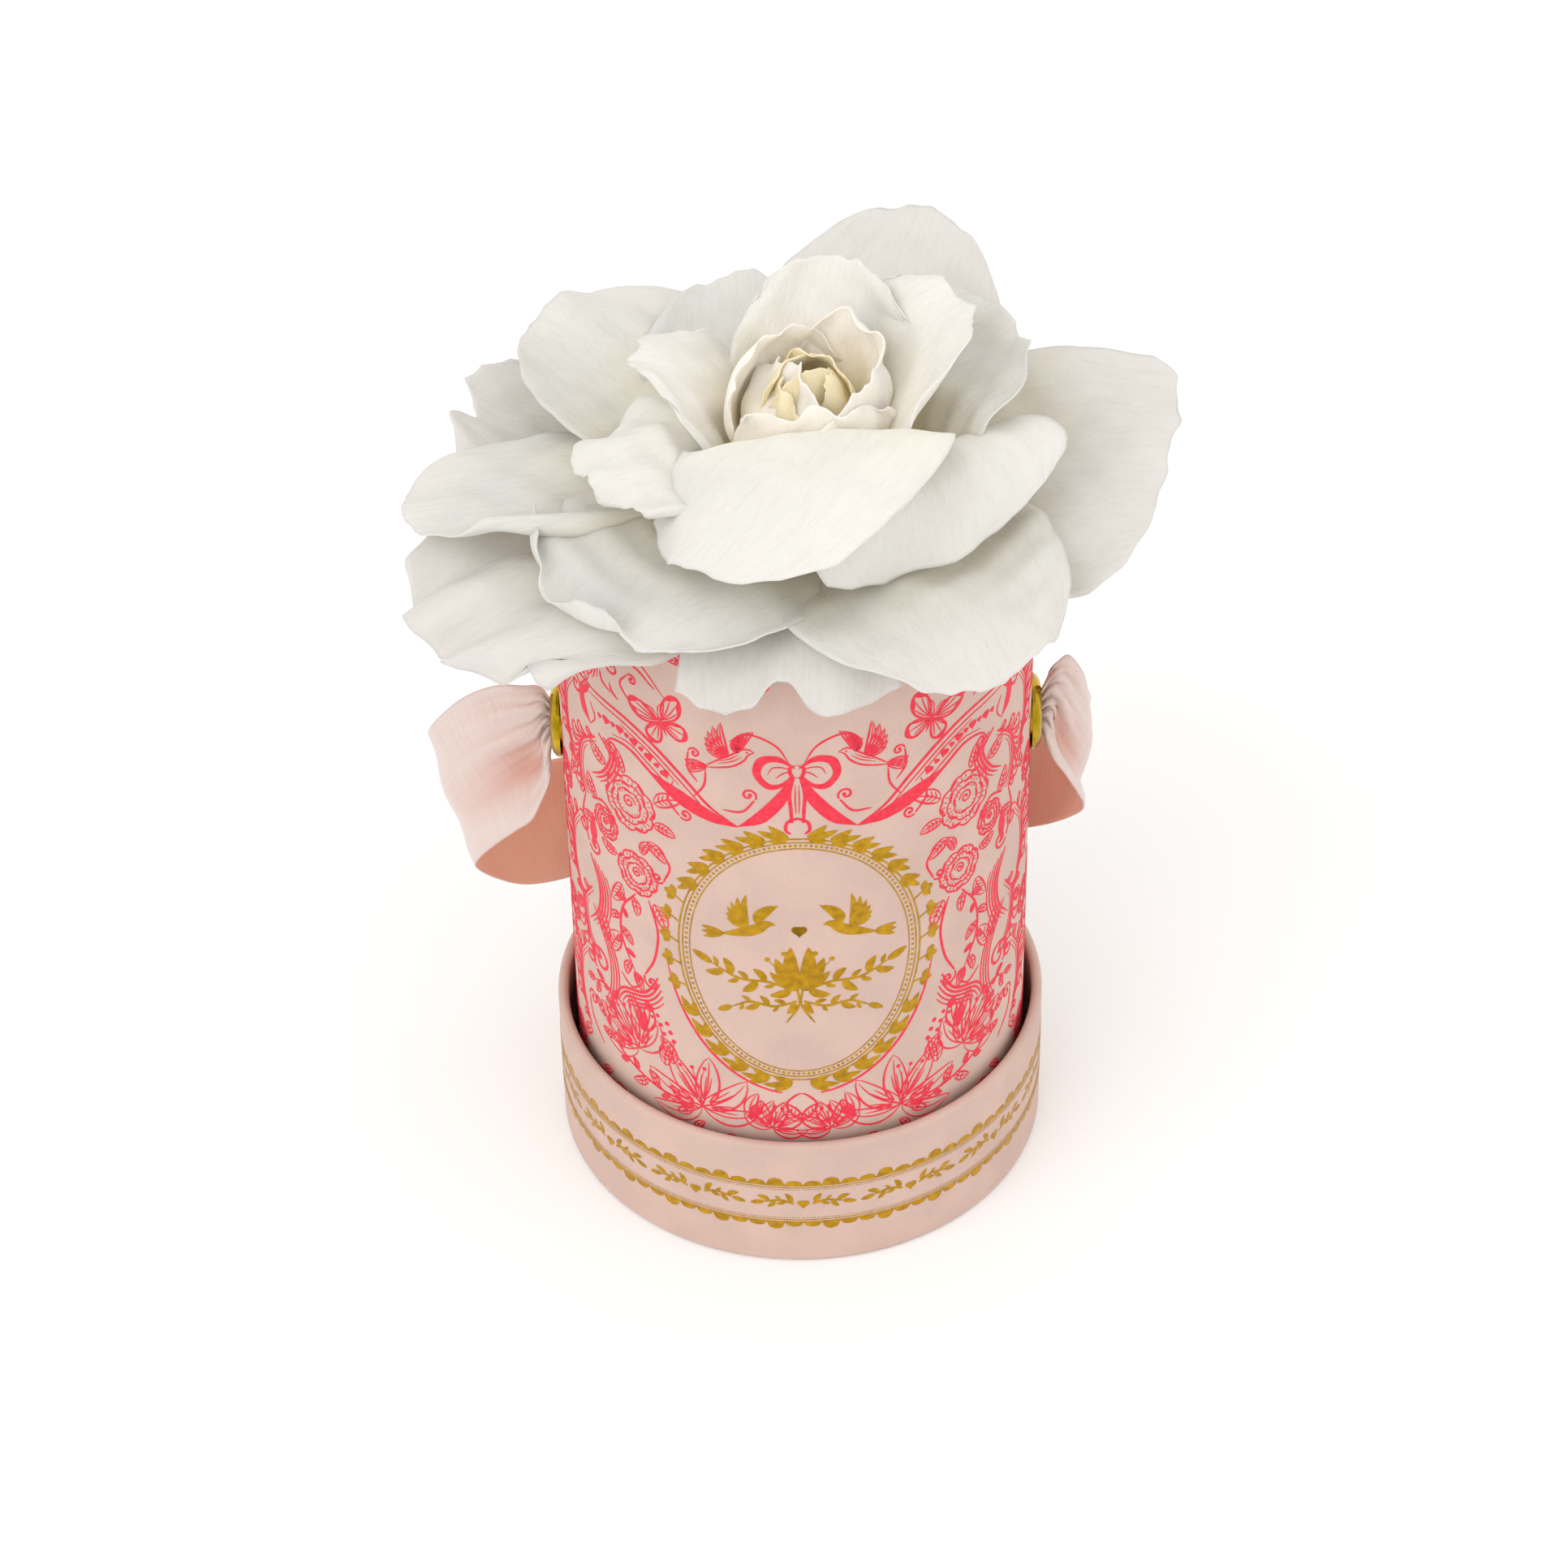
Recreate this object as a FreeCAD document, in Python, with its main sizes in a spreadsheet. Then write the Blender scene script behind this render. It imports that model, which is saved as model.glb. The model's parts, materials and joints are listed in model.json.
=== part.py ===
import FreeCAD, Part
import os

import Sketcher
from FreeCAD import Placement, Rotation, Vector

# Round paper flower box: a wrapped board tube that stands in its own upturned lid, with a ribbon
# handle through two eyelets and one large open bloom held by its stem in floral foam.
# Millimetres. +Z up, origin at the centre of the underside, -Y is the front.

DOC = FreeCAD.newDocument("flower_box")
SHEET = DOC.addObject("Spreadsheet::Sheet", "Sizes")

DIMENSIONS = {
    # paper and board
    "paper_sheet": 0.2,
    "board_sheet": 1.6,
    "base_board": 2.0,
    "turn_in": 12,
    # upturned lid
    "lid_radius": 46.1,
    "lid_height": 30.2,
    "lid_edge_round": 0.8,
    # tube
    "tube_radius": 42.5,
    "tube_top": 142,
    # eyelets and their washers
    "eyelet_height": 94.7,
    "eyelet_hole": 4.6,
    "eyelet_barrel": 4.5,
    "eyelet_bore": 4.0,
    "eyelet_flange": 7.0,
    "eyelet_dome": 1.8,
    "eyelet_inner_end": 37.8,
    "clinch_radius": 5.6,
    "washer_radius": 6.8,
    "washer_bore": 4.7,
    "washer_inner_face": 38.6,
    "washer_sheet": 0.9,
    # ribbon handle
    "ribbon_sheet": 0.9,
    "ribbon_neck": 5.0,
    "knot_radius": 8,
    "knot_outer_end": 36,
    "knot_inner_end": 21,
    # floral foam and stem
    "foam_radius": 40,
    "foam_top": 82,
    "flower_offset": 3,
    "stem_radius": 2.5,
    "stem_clearance": 0.3,
    "stem_bottom": 45,
    "calyx_bottom": 139.2,
    "calyx_top": 143.2,
    "calyx_radius": 9,
    "sepal_reach": 24,
    "sepal_half_width": 4.5,
    "sepal_sheet": 0.7,
    # petals
    "petal_sheet": 0.8,
    "spreading_reach": 45,
}


class Size:
    """A length with the sheet expression that it comes from."""

    def __init__(self, value, text):
        self.value = value
        self.text = text

    def joined(self, other, sign, value):
        text = other.text if isinstance(other, Size) else str(other)
        return Size(value, f"({self.text} {sign} {text})")

    def __add__(self, other):
        return self.joined(other, "+", self.value + number(other))

    def __sub__(self, other):
        return self.joined(other, "-", self.value - number(other))

    def __mul__(self, other):
        return self.joined(other, "*", self.value * number(other))

    def __truediv__(self, other):
        return self.joined(other, "/", self.value / number(other))


def number(length):
    return length.value if isinstance(length, Size) else float(length)


def fill_sheet():
    for row, (alias, value) in enumerate(DIMENSIONS.items(), start=1):
        SHEET.set(f"A{row}", alias)
        SHEET.set(f"B{row}", str(value))
        SHEET.setAlias(f"B{row}", alias)
    DOC.recompute()


def size(alias):
    return Size(float(SHEET.get(alias)), f"Sizes.{alias}")


fill_sheet()

PAPER = size("paper_sheet")
BOARD = size("board_sheet")
TURN_IN = size("turn_in")
LID_R = size("lid_radius")
LID_H = size("lid_height")
TUBE_R = size("tube_radius")
TUBE_TOP = size("tube_top")
WALL = PAPER * 2 + BOARD
LID_INNER_R = LID_R - WALL
TUBE_INNER_R = TUBE_R - WALL
LID_FLOOR = PAPER * 2 + size("base_board")
TUBE_BASE = LID_FLOOR + PAPER
TUBE_FLOOR = TUBE_BASE + size("base_board")
EYELET_Z = size("eyelet_height")


def bind(thing, prop, length):
    """Bind one property to the sheet."""
    if isinstance(length, Size):
        thing.setExpression(prop, length.text)
    else:
        thing.setExpression(prop, str(length))


# ---------------------------------------------------------------- building blocks


def origin_feature(body, role):
    return next(f for f in body.Origin.OriginFeatures if f.Role == role)


def new_body(name):
    body = DOC.addObject("PartDesign::Body", name)
    body.Label = name
    return body


def new_sketch(body, name, plane):
    sketch = body.newObject("Sketcher::SketchObject", name)
    sketch.AttachmentSupport = [(origin_feature(body, plane), "")]
    sketch.MapMode = "FlatFace"
    return sketch


def pin_point(sketch, edge, end, across, up):
    """Fix one end of an edge at (across, up), each bound to the sheet."""
    for kind, axis, length in (("DistanceX", -2, across), ("DistanceY", -1, up)):
        if number(length) == 0:
            sketch.addConstraint(Sketcher.Constraint("PointOnObject", edge, end, axis))
            continue
        at = sketch.addConstraint(
            Sketcher.Constraint(kind, -1, 1, edge, end, number(length))
        )
        bind(sketch, f"Constraints[{at}]", length)


def draw_profile(sketch, points, rounds=None, hollows=None):
    """Close a profile, drawn anticlockwise, through the points. An edge is straight unless rounds
    or hollows gives the radius of its arc, by the number of its first point: a round bulges out
    of the profile and a hollow into it."""
    rounds = rounds or {}
    hollows = hollows or {}
    radii = {**rounds, **hollows}
    flat = [Vector(number(x), number(y), 0) for x, y in points]
    ends = [(2, 1) if i in hollows else (1, 2) for i in range(len(flat))]
    for i, start in enumerate(flat):
        end = flat[(i + 1) % len(flat)]
        if i in radii:
            arc = arc_between(start, end, number(radii[i]), i in hollows)
            sketch.addGeometry(arc, False)
        else:
            sketch.addGeometry(Part.LineSegment(start, end), False)
    for i in range(len(flat)):
        after = (i + 1) % len(flat)
        joint = Sketcher.Constraint("Coincident", i, ends[i][1], after, ends[after][0])
        sketch.addConstraint(joint)
        pin_point(sketch, i, ends[i][0], *points[i])
    for i, radius in radii.items():
        at = sketch.addConstraint(Sketcher.Constraint("Radius", i, number(radius)))
        bind(sketch, f"Constraints[{at}]", radius)


def arc_between(start, end, radius, hollow):
    """The short arc between two points of a profile. A sketch stores it anticlockwise."""
    chord = end - start
    inward = Vector(-chord.y, chord.x, 0).normalize()
    if hollow:
        inward = inward * -1
    half = chord.Length / 2
    rise = (radius * radius - half * half) ** 0.5
    centre = (start + end) * 0.5 + inward * rise
    middle = centre - inward * radius
    if hollow:
        start, end = end, start
    return Part.Arc(start, middle, end)


def revolve(body, sketch, axis="V_Axis", angle=360):
    turn = body.newObject("PartDesign::Revolution", f"{body.Name}_turn")
    turn.Profile = sketch
    turn.ReferenceAxis = (sketch, [axis])
    turn.Midplane = True
    turn.Angle = angle
    body.Tip = turn
    DOC.recompute()
    return turn


def turned(name, points, rounds=None, hollows=None, axis="V_Axis"):
    """A sub-part turned about its axis from one half profile."""
    body = new_body(name)
    sketch = new_sketch(body, f"{name}_profile", "XZ_Plane")
    draw_profile(sketch, points, rounds, hollows)
    revolve(body, sketch, axis)
    return body


def disc(name, radius, bottom, height):
    """A flat disc of board or paper."""
    part = DOC.addObject("Part::Cylinder", name)
    part.Label = name
    bind(part, "Radius", radius)
    bind(part, "Height", height)
    bind(part, "Placement.Base.z", bottom)
    return part


def punch_eyelet_holes(body):
    """Cut the two eyelet holes, one at each side of the tube."""
    sketch = new_sketch(body, f"{body.Name}_holes", "YZ_Plane")
    sketch.addGeometry(Part.Circle(Vector(0, EYELET_Z.value, 0), Vector(0, 0, 1), 1), False)
    sketch.addConstraint(Sketcher.Constraint("PointOnObject", 0, 3, -2))
    rise = sketch.addConstraint(Sketcher.Constraint("DistanceY", -1, 1, 0, 3, EYELET_Z.value))
    bind(sketch, f"Constraints[{rise}]", EYELET_Z)
    hole = size("eyelet_hole")
    at = sketch.addConstraint(Sketcher.Constraint("Radius", 0, hole.value))
    bind(sketch, f"Constraints[{at}]", hole)
    DOC.recompute()
    before = body.Shape.Volume
    pocket = body.newObject("PartDesign::Pocket", f"{body.Name}_eyelet_holes")
    pocket.Profile = sketch
    pocket.Type = "ThroughAll"
    pocket.Midplane = True
    body.Tip = pocket
    DOC.recompute()
    if body.Shape.Volume >= before:
        raise RuntimeError(f"the eyelet holes cut nothing from {body.Label}")


# ---------------------------------------------------------------- the upturned lid


def build_lid():
    edge = size("lid_edge_round")
    board_edge = edge - PAPER
    foot = LID_R - edge
    half = WALL / 2
    board_half = half - PAPER
    rim = LID_R - half

    disc("lid_cover_disc", foot, 0, PAPER)
    disc("lid_board_disc", LID_INNER_R + PAPER, PAPER, size("base_board"))
    disc("lid_lining_disc", LID_INNER_R, LID_FLOOR - PAPER, PAPER)

    inner = LID_INNER_R + PAPER
    outer = LID_R - PAPER
    turned(
        "lid_board_ring",
        [
            (inner, PAPER * 2),
            (foot, PAPER * 2),
            (outer, PAPER + edge),
            (outer, LID_H - half),
            (rim, LID_H - PAPER),
            (inner, LID_H - half),
        ],
        {1: board_edge, 3: board_half, 4: board_half},
    )
    turned(
        "lid_side_wrap",
        [
            (inner, PAPER),
            (foot, PAPER),
            (LID_R, PAPER + edge),
            (LID_R, LID_H - half),
            (rim, LID_H),
            (LID_INNER_R, LID_H - half),
            (LID_INNER_R, LID_H - TURN_IN),
            (inner, LID_H - TURN_IN),
            (inner, LID_H - half),
            (rim, LID_H - PAPER),
            (outer, LID_H - half),
            (outer, PAPER + edge),
            (foot, PAPER * 2),
            (inner, PAPER * 2),
        ],
        {1: edge, 3: half, 4: half},
        {8: board_half, 9: board_half, 11: board_edge},
    )
    turned(
        "lid_lining_ring",
        [
            (LID_INNER_R, LID_FLOOR),
            (inner, LID_FLOOR),
            (inner, LID_H - TURN_IN),
            (LID_INNER_R, LID_H - TURN_IN),
        ],
    )


# ---------------------------------------------------------------- the tube


def build_tube():
    inner = TUBE_INNER_R + PAPER
    outer = TUBE_R - PAPER
    half = WALL / 2
    board_half = half - PAPER
    rim = TUBE_R - half

    disc("base_paper_disc", TUBE_R, LID_FLOOR, PAPER)
    disc("base_board_disc", TUBE_INNER_R, TUBE_BASE, size("base_board"))
    disc("base_lining_disc", TUBE_INNER_R, TUBE_FLOOR, PAPER)

    board = turned(
        "tube_board",
        [
            (inner, TUBE_BASE),
            (outer, TUBE_BASE),
            (outer, TUBE_TOP - half),
            (rim, TUBE_TOP - PAPER),
            (inner, TUBE_TOP - half),
        ],
        {2: board_half, 3: board_half},
    )
    wrap = turned(
        "tube_wrap",
        [
            (outer, TUBE_BASE),
            (TUBE_R, TUBE_BASE),
            (TUBE_R, TUBE_TOP - half),
            (rim, TUBE_TOP),
            (TUBE_INNER_R, TUBE_TOP - half),
            (TUBE_INNER_R, TUBE_TOP - TURN_IN),
            (inner, TUBE_TOP - TURN_IN),
            (inner, TUBE_TOP - half),
            (rim, TUBE_TOP - PAPER),
            (outer, TUBE_TOP - half),
        ],
        {2: half, 3: half},
        {7: board_half, 8: board_half},
    )
    lining = turned(
        "tube_lining",
        [
            (TUBE_INNER_R, TUBE_BASE),
            (inner, TUBE_BASE),
            (inner, TUBE_TOP - TURN_IN),
            (TUBE_INNER_R, TUBE_TOP - TURN_IN),
        ],
    )
    for sleeve in (board, wrap, lining):
        punch_eyelet_holes(sleeve)


# ---------------------------------------------------------------- eyelets

SIDES = {"left": 180, "right": 0}


def on_side(body, turn):
    """Set a piece turned about the X axis at the height of the eyelets."""
    body.Placement = Placement(Vector(0, 0, EYELET_Z.value), Rotation(Vector(0, 0, 1), turn))
    bind(body, "Placement.Base.z", EYELET_Z)


def build_eyelets():
    bore = size("eyelet_bore")
    barrel = size("eyelet_barrel")
    flange = size("eyelet_flange")
    dome = size("eyelet_dome")
    end = size("eyelet_inner_end")
    clinch = size("clinch_radius")
    washer_face = size("washer_inner_face")
    washer_sheet = size("washer_sheet")
    for side, turn in SIDES.items():
        eyelet = turned(
            f"eyelet_{side}",
            [
                (end, bore),
                (TUBE_R + dome / 2, bore),
                (TUBE_R + dome, bore + dome / 2),
                (TUBE_R + dome / 3, flange),
                (TUBE_R, flange),
                (TUBE_R, barrel),
                (washer_face, barrel),
                (washer_face, clinch),
                (end, barrel),
            ],
            {1: dome / 2, 2: dome * 1.4},
            axis="H_Axis",
        )
        on_side(eyelet, turn)
        washer = turned(
            f"eyelet_washer_{side}",
            [
                (washer_face, size("washer_bore")),
                (washer_face + washer_sheet, size("washer_bore")),
                (washer_face + washer_sheet, size("washer_radius")),
                (washer_face, size("washer_radius")),
            ],
            axis="H_Axis",
        )
        on_side(washer, turn)


# ---------------------------------------------------------------- ribbon handle

# Each station across the ribbon: its upper edge, its lower edge and its thickness there. The first
# list runs from the left eyelet to the middle of the back, the second on to the right eyelet.
LEFT_STATIONS = [
    ((-47.0, 0.8, 100.6), (-46.0, -3.0, 86.5), 2.6),
    ((-54.0, 2.0, 100.8), (-47.4, -5.6, 77.2), 1.4),
    ((-60.0, 3.6, 97.0), (-50.8, -4.8, 73.0), 1.0),
    ((-65.2, 6.6, 89.9), (-55.0, -2.4, 67.4), 1.0),
    ((-67.8, 10.6, 82.6), (-58.8, 1.2, 60.8), 1.0),
    ((-66.8, 16.0, 75.4), (-60.2, 6.2, 53.6), 1.0),
    ((-63.2, 22.0, 67.2), (-57.6, 12.4, 45.2), 1.0),
    ((-55.2, 28.0, 61.0), (-52.0, 18.5, 38.2), 1.0),
    ((-45.5, 34.0, 57.0), (-43.5, 25.0, 34.4), 1.0),
    ((-33.5, 40.4, 56.0), (-32.5, 33.6, 32.6), 1.0),
    ((-18.0, 46.0, 56.6), (-18.0, 41.5, 32.6), 1.0),
    ((0.0, 48.5, 57.0), (0.0, 45.5, 33.0), 1.0),
]
RIGHT_STATIONS = [
    ((18.0, 46.3, 58.5), (18.0, 41.8, 34.5), 1.0),
    ((31.0, 41.0, 61.5), (30.0, 33.8, 37.5), 1.0),
    ((40.0, 34.6, 66.6), (38.0, 26.5, 43.0), 1.0),
    ((47.3, 27.2, 72.9), (44.2, 20.0, 49.5), 1.0),
    ((52.4, 19.0, 80.4), (49.2, 14.0, 56.0), 1.0),
    ((54.2, 11.4, 88.0), (52.0, 8.0, 63.2), 1.0),
    ((53.4, 6.0, 95.2), (52.2, 2.6, 70.4), 1.0),
    ((51.8, 3.0, 101.6), (50.2, -1.2, 77.2), 1.0),
    ((50.0, 1.4, 105.4), (48.2, -3.2, 83.4), 1.6),
    ((47.0, 0.4, 104.4), (46.4, -2.8, 88.0), 2.6),
]


def ribbon_section(upper, lower, along, sheet):
    """A thin four-cornered section across the ribbon, square to the way it runs."""
    across = (upper - lower).normalize()
    face = along.cross(across).normalize() * (sheet / 2)
    return Part.makePolygon(
        [upper + face, upper - face, lower - face, lower + face, upper + face]
    )


def neck_section(across_x):
    """The gathered ribbon where it fills the eyelet: a square section."""
    half = number(size("ribbon_neck")) / 2
    corners = [(half, half), (-half, half), (-half, -half), (half, -half), (half, half)]
    return Part.makePolygon(
        [Vector(across_x, y, EYELET_Z.value + z) for y, z in corners]
    )


def build_ribbon():
    sheet = number(size("ribbon_sheet"))
    knot_end = number(size("knot_outer_end"))
    neck_end = TUBE_R.value + size("eyelet_dome").value
    stations = [
        (Vector(*upper), Vector(*lower), thick * sheet)
        for upper, lower, thick in LEFT_STATIONS + RIGHT_STATIONS
    ]
    middles = [(upper + lower) * 0.5 for upper, lower, _ in stations]
    left_exit = Vector(-neck_end, 0, EYELET_Z.value)
    right_exit = Vector(neck_end, 0, EYELET_Z.value)
    path = [left_exit] + middles + [right_exit]
    sections = [neck_section(-knot_end), neck_section(-neck_end)]
    for i, (upper, lower, thick) in enumerate(stations):
        along = path[i + 2] - path[i]
        sections.append(ribbon_section(upper, lower, along, thick))
    sections += [neck_section(neck_end), neck_section(knot_end)]
    ribbon = DOC.addObject("Part::Feature", "ribbon_handle")
    ribbon.Label = "ribbon_handle"
    ribbon.Shape = Part.makeLoft(sections, True, True)
    ribbon.Placement = Placement()


def build_knots():
    radius = size("knot_radius")
    outer = size("knot_outer_end")
    inner = size("knot_inner_end")
    for side, turn in SIDES.items():
        knot = turned(
            f"ribbon_knot_{side}",
            [
                (inner, 0),
                (outer, 0),
                (outer, radius / 2),
                (outer - radius / 2, radius),
                (inner + radius / 2, radius),
                (inner, radius / 2),
            ],
            {2: radius / 2, 4: radius / 2},
            axis="H_Axis",
        )
        on_side(knot, turn)


# ---------------------------------------------------------------- foam, stem and calyx


def build_foam():
    offset = size("flower_offset")
    bottom = TUBE_FLOOR + PAPER
    block = DOC.addObject("Part::Cylinder", "foam_blank")
    bind(block, "Radius", size("foam_radius"))
    bind(block, "Height", size("foam_top") - bottom)
    bind(block, "Placement.Base.z", bottom)
    hole = DOC.addObject("Part::Cylinder", "foam_stem_hole")
    hole_bottom = size("stem_bottom") - size("stem_clearance")
    bind(hole, "Radius", size("stem_radius") + size("stem_clearance"))
    bind(hole, "Height", size("foam_top") - hole_bottom + 1)
    bind(hole, "Placement.Base.x", offset)
    bind(hole, "Placement.Base.z", hole_bottom)
    foam = DOC.addObject("Part::Cut", "foam_block")
    foam.Label = "foam_block"
    foam.Base = block
    foam.Tool = hole


def build_stem():
    bottom = size("stem_bottom")
    stem = DOC.addObject("Part::Cylinder", "flower_stem")
    stem.Label = "flower_stem"
    bind(stem, "Radius", size("stem_radius"))
    bind(stem, "Height", size("calyx_bottom") - bottom)
    bind(stem, "Placement.Base.x", size("flower_offset"))
    bind(stem, "Placement.Base.z", bottom)


def build_calyx():
    """The green cup under the bloom with its five flat sepals."""
    bottom = size("calyx_bottom")
    top = size("calyx_top")
    radius = size("calyx_radius")
    body = turned(
        "flower_calyx",
        [(0, bottom), (radius / 2, bottom), (radius, top), (0, top)],
        {1: radius * 0.8},
    )
    outline = new_sketch(body, "sepal_outline", "XY_Plane")
    outline.AttachmentOffset = Placement(Vector(0, 0, top.value), Rotation())
    bind(outline, "AttachmentOffset.Base.z", top)
    half = size("sepal_half_width")
    reach = size("sepal_reach")
    draw_profile(
        outline,
        [
            (0, half * -1),
            (reach / 2, half * -1),
            (reach, 0),
            (reach / 2, half),
            (0, half),
        ],
        {1: reach, 2: reach},
    )
    sepal = body.newObject("PartDesign::Pad", "sepal")
    sepal.Profile = outline
    sepal.Reversed = True
    bind(sepal, "Length", size("sepal_sheet"))
    body.Tip = sepal
    DOC.recompute()
    ring = body.newObject("PartDesign::PolarPattern", "sepals")
    ring.Originals = [sepal]
    ring.Axis = (origin_feature(body, "Z_Axis"), [""])
    ring.Angle = 360
    ring.Occurrences = 5
    body.Tip = ring
    bind(body, "Placement.Base.x", size("flower_offset"))
    DOC.recompute()


# ---------------------------------------------------------------- the bloom

# Heading is the way a petal points, in degrees from the front towards the right. Span is how far
# it reaches round the bloom. Base, middle and tip are (radius, height) on its curved section.
GUARD_PETALS = [
    (-65, 56, (10, 144.0), (40, 148.2), (66, 138)),
    (-5, 56, (10, 144.0), (38, 147.2), (52, 136)),
    (91, 54, (10, 144.0), (40, 150.0), (66, 150)),
    (155, 66, (10, 144.0), (38, 151.0), (63, 158)),
    (-125, 54, (10, 144.0), (38, 149.0), (64, 150)),
]
OUTER_PETALS = [
    (-35, 50, (9.6, 146.0), (32, 153.5), (54, 146)),
    (36, 54, (9.6, 146.0), (34, 153.5), (59, 146)),
    (120, 54, (9.6, 146.0), (32, 155.5), (54, 161)),
    (178, 36, (9.6, 146.0), (30, 156.5), (50, 163)),
    (218, 38, (9.6, 146.0), (33, 155.0), (58, 159)),
    (272, 50, (9.6, 146.0), (36, 154.5), (65, 152)),
]
MIDDLE_PETALS = [
    (-8, 40, (9.2, 147.8), (21.5, 160.0), (35, 158)),
    (42, 46, (9.2, 147.8), (22, 159.5), (40, 157)),
    (95, 52, (9.2, 147.8), (21, 160.0), (33, 167)),
    (165, 74, (9.2, 147.8), (19, 160.5), (24, 171)),
    (-95, 44, (9.2, 147.8), (21, 160.0), (33, 165)),
    (-50, 38, (9.2, 147.8), (22, 159.5), (38, 158)),
]
INNER_RING = ((7.6, 149.8), (12.6, 158.8), (13.6, 167))
CORE_RING = ((6.0, 151.4), (9.6, 159.0), (10.0, 166))
HEART_RING = ((4.0, 152.8), (6.4, 159.0), (6.2, 164))


def circle_through(first, middle, last):
    """Centre and radius of the circle through three section points."""
    ring = Part.Circle(Vector(*first, 0), Vector(*middle, 0), Vector(*last, 0))
    return ring.Center, ring.Radius


def build_petal(name, heading, span, base, middle, tip):
    """One petal: a curved sheet swept part of the way round the bloom, its tip corners rounded."""
    half = number(size("petal_sheet")) / 2
    centre, radius = circle_through(base, middle, tip)
    over = 1 if centre.y < middle[1] else -1

    def offset(point, distance):
        out = (Vector(*point, 0) - centre).normalize()
        moved = centre + out * (radius + distance)
        return (moved.x, moved.y)

    profile = [
        offset(tip, -half * over),
        offset(tip, half * over),
        offset(base, half * over),
        offset(base, -half * over),
    ]
    upper_radius = radius + half * over
    lower_radius = radius - half * over
    rounds = {1: upper_radius} if over > 0 else {3: lower_radius}
    hollows = {3: lower_radius} if over > 0 else {1: upper_radius}
    body = new_body(name)
    sketch = new_sketch(body, f"{name}_section", "XZ_Plane")
    draw_profile(sketch, profile, rounds, hollows)
    revolve(body, sketch, angle=span)
    if tip[0] > number(size("spreading_reach")):
        round_tip(body, base[0] - half * 2, tip[0] + half)
    body.Placement = Placement(
        Vector(number(size("flower_offset")), 0, 0),
        Rotation(Vector(0, 0, 1), heading - 90),
    )
    bind(body, "Placement.Base.x", size("flower_offset"))


def round_tip(body, near, reach):
    """Trim a spreading petal to a round tip: all outside one circle, seen from above, is cut."""
    trim = new_sketch(body, f"{body.Name}_round", "XY_Plane")
    corners = [(-reach, -reach), (2 * reach, -reach), (2 * reach, reach), (-reach, reach)]
    draw_profile(trim, corners)
    centre = (near + reach) / 2
    trim.addGeometry(Part.Circle(Vector(centre, 0, 0), Vector(0, 0, 1), reach - centre), False)
    DOC.recompute()
    before = body.Shape.Volume
    pocket = body.newObject("PartDesign::Pocket", f"{body.Name}_tip")
    pocket.Profile = trim
    pocket.Type = "ThroughAll"
    pocket.Midplane = True
    body.Tip = pocket
    DOC.recompute()
    if not 0.6 * before < body.Shape.Volume < before:
        raise RuntimeError(f"the tip of {body.Label} wasn't rounded")


def build_bloom():
    tiers = {
        "guard_petal": GUARD_PETALS,
        "outer_petal": OUTER_PETALS,
        "middle_petal": MIDDLE_PETALS,
        "inner_petal": [(20 + 72 * i, 64, *INNER_RING) for i in range(5)],
        "core_petal": [(45 + 90 * i, 78, *CORE_RING) for i in range(4)],
        "heart_petal": [(120 * i, 104, *HEART_RING) for i in range(3)],
    }
    for tier, petals in tiers.items():
        for i, petal in enumerate(petals, start=1):
            build_petal(f"{tier}_{i}", *petal)


# ---------------------------------------------------------------- check and write

HELPERS = ("foam_blank", "foam_stem_hole")


def sub_parts():
    kinds = ("PartDesign::Body", "Part::Cylinder", "Part::Cut", "Part::Feature")
    return [o for o in DOC.Objects if o.TypeId in kinds and o.Name not in HELPERS]


def check_document():
    for thing in DOC.Objects:
        if "Invalid" in thing.State or "Error" in thing.State:
            raise RuntimeError(f"{thing.Label} is {thing.State}")
    for part in sub_parts():
        if part.Shape.isNull() or not part.Shape.isValid() or not part.Shape.Solids:
            raise RuntimeError(f"{part.Label} has no valid solid")


def main():
    build_lid()
    build_tube()
    build_eyelets()
    build_ribbon()
    build_knots()
    build_foam()
    build_stem()
    build_calyx()
    build_bloom()
    DOC.recompute()
    check_document()
    os.makedirs("parts", exist_ok=True)
    for part in sub_parts():
        part.Shape.exportStep(f"parts/{part.Label}.step")


main()
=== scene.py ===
"""Looks of the paper flower box: bloom, ribbon, print, foil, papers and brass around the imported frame."""

import json
import math

import bpy
import numpy as np
from mathutils import Euler, Matrix, Vector


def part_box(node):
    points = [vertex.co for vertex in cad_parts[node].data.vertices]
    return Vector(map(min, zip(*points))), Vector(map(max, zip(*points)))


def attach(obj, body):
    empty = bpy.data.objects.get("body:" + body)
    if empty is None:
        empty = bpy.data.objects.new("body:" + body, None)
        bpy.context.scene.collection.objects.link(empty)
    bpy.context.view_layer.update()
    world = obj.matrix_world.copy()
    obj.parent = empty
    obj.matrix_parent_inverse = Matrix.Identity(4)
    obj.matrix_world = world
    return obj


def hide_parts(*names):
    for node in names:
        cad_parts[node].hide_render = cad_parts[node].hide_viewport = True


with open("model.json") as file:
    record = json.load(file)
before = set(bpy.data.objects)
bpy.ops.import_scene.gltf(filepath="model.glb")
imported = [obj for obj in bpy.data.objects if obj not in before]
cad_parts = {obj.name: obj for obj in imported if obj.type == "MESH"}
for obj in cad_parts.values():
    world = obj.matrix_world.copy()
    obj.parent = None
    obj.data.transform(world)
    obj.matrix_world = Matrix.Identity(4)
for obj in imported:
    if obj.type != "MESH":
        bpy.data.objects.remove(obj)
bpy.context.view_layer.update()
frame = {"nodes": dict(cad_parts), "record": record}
NODES = frame["nodes"]

MM = 0.001

# ------------------------------------------------------------------ sizes read from the frame, in mm


def node_box(name):
    """The low and the high corner of a node."""
    return np.array(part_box(name)) / MM


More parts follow.
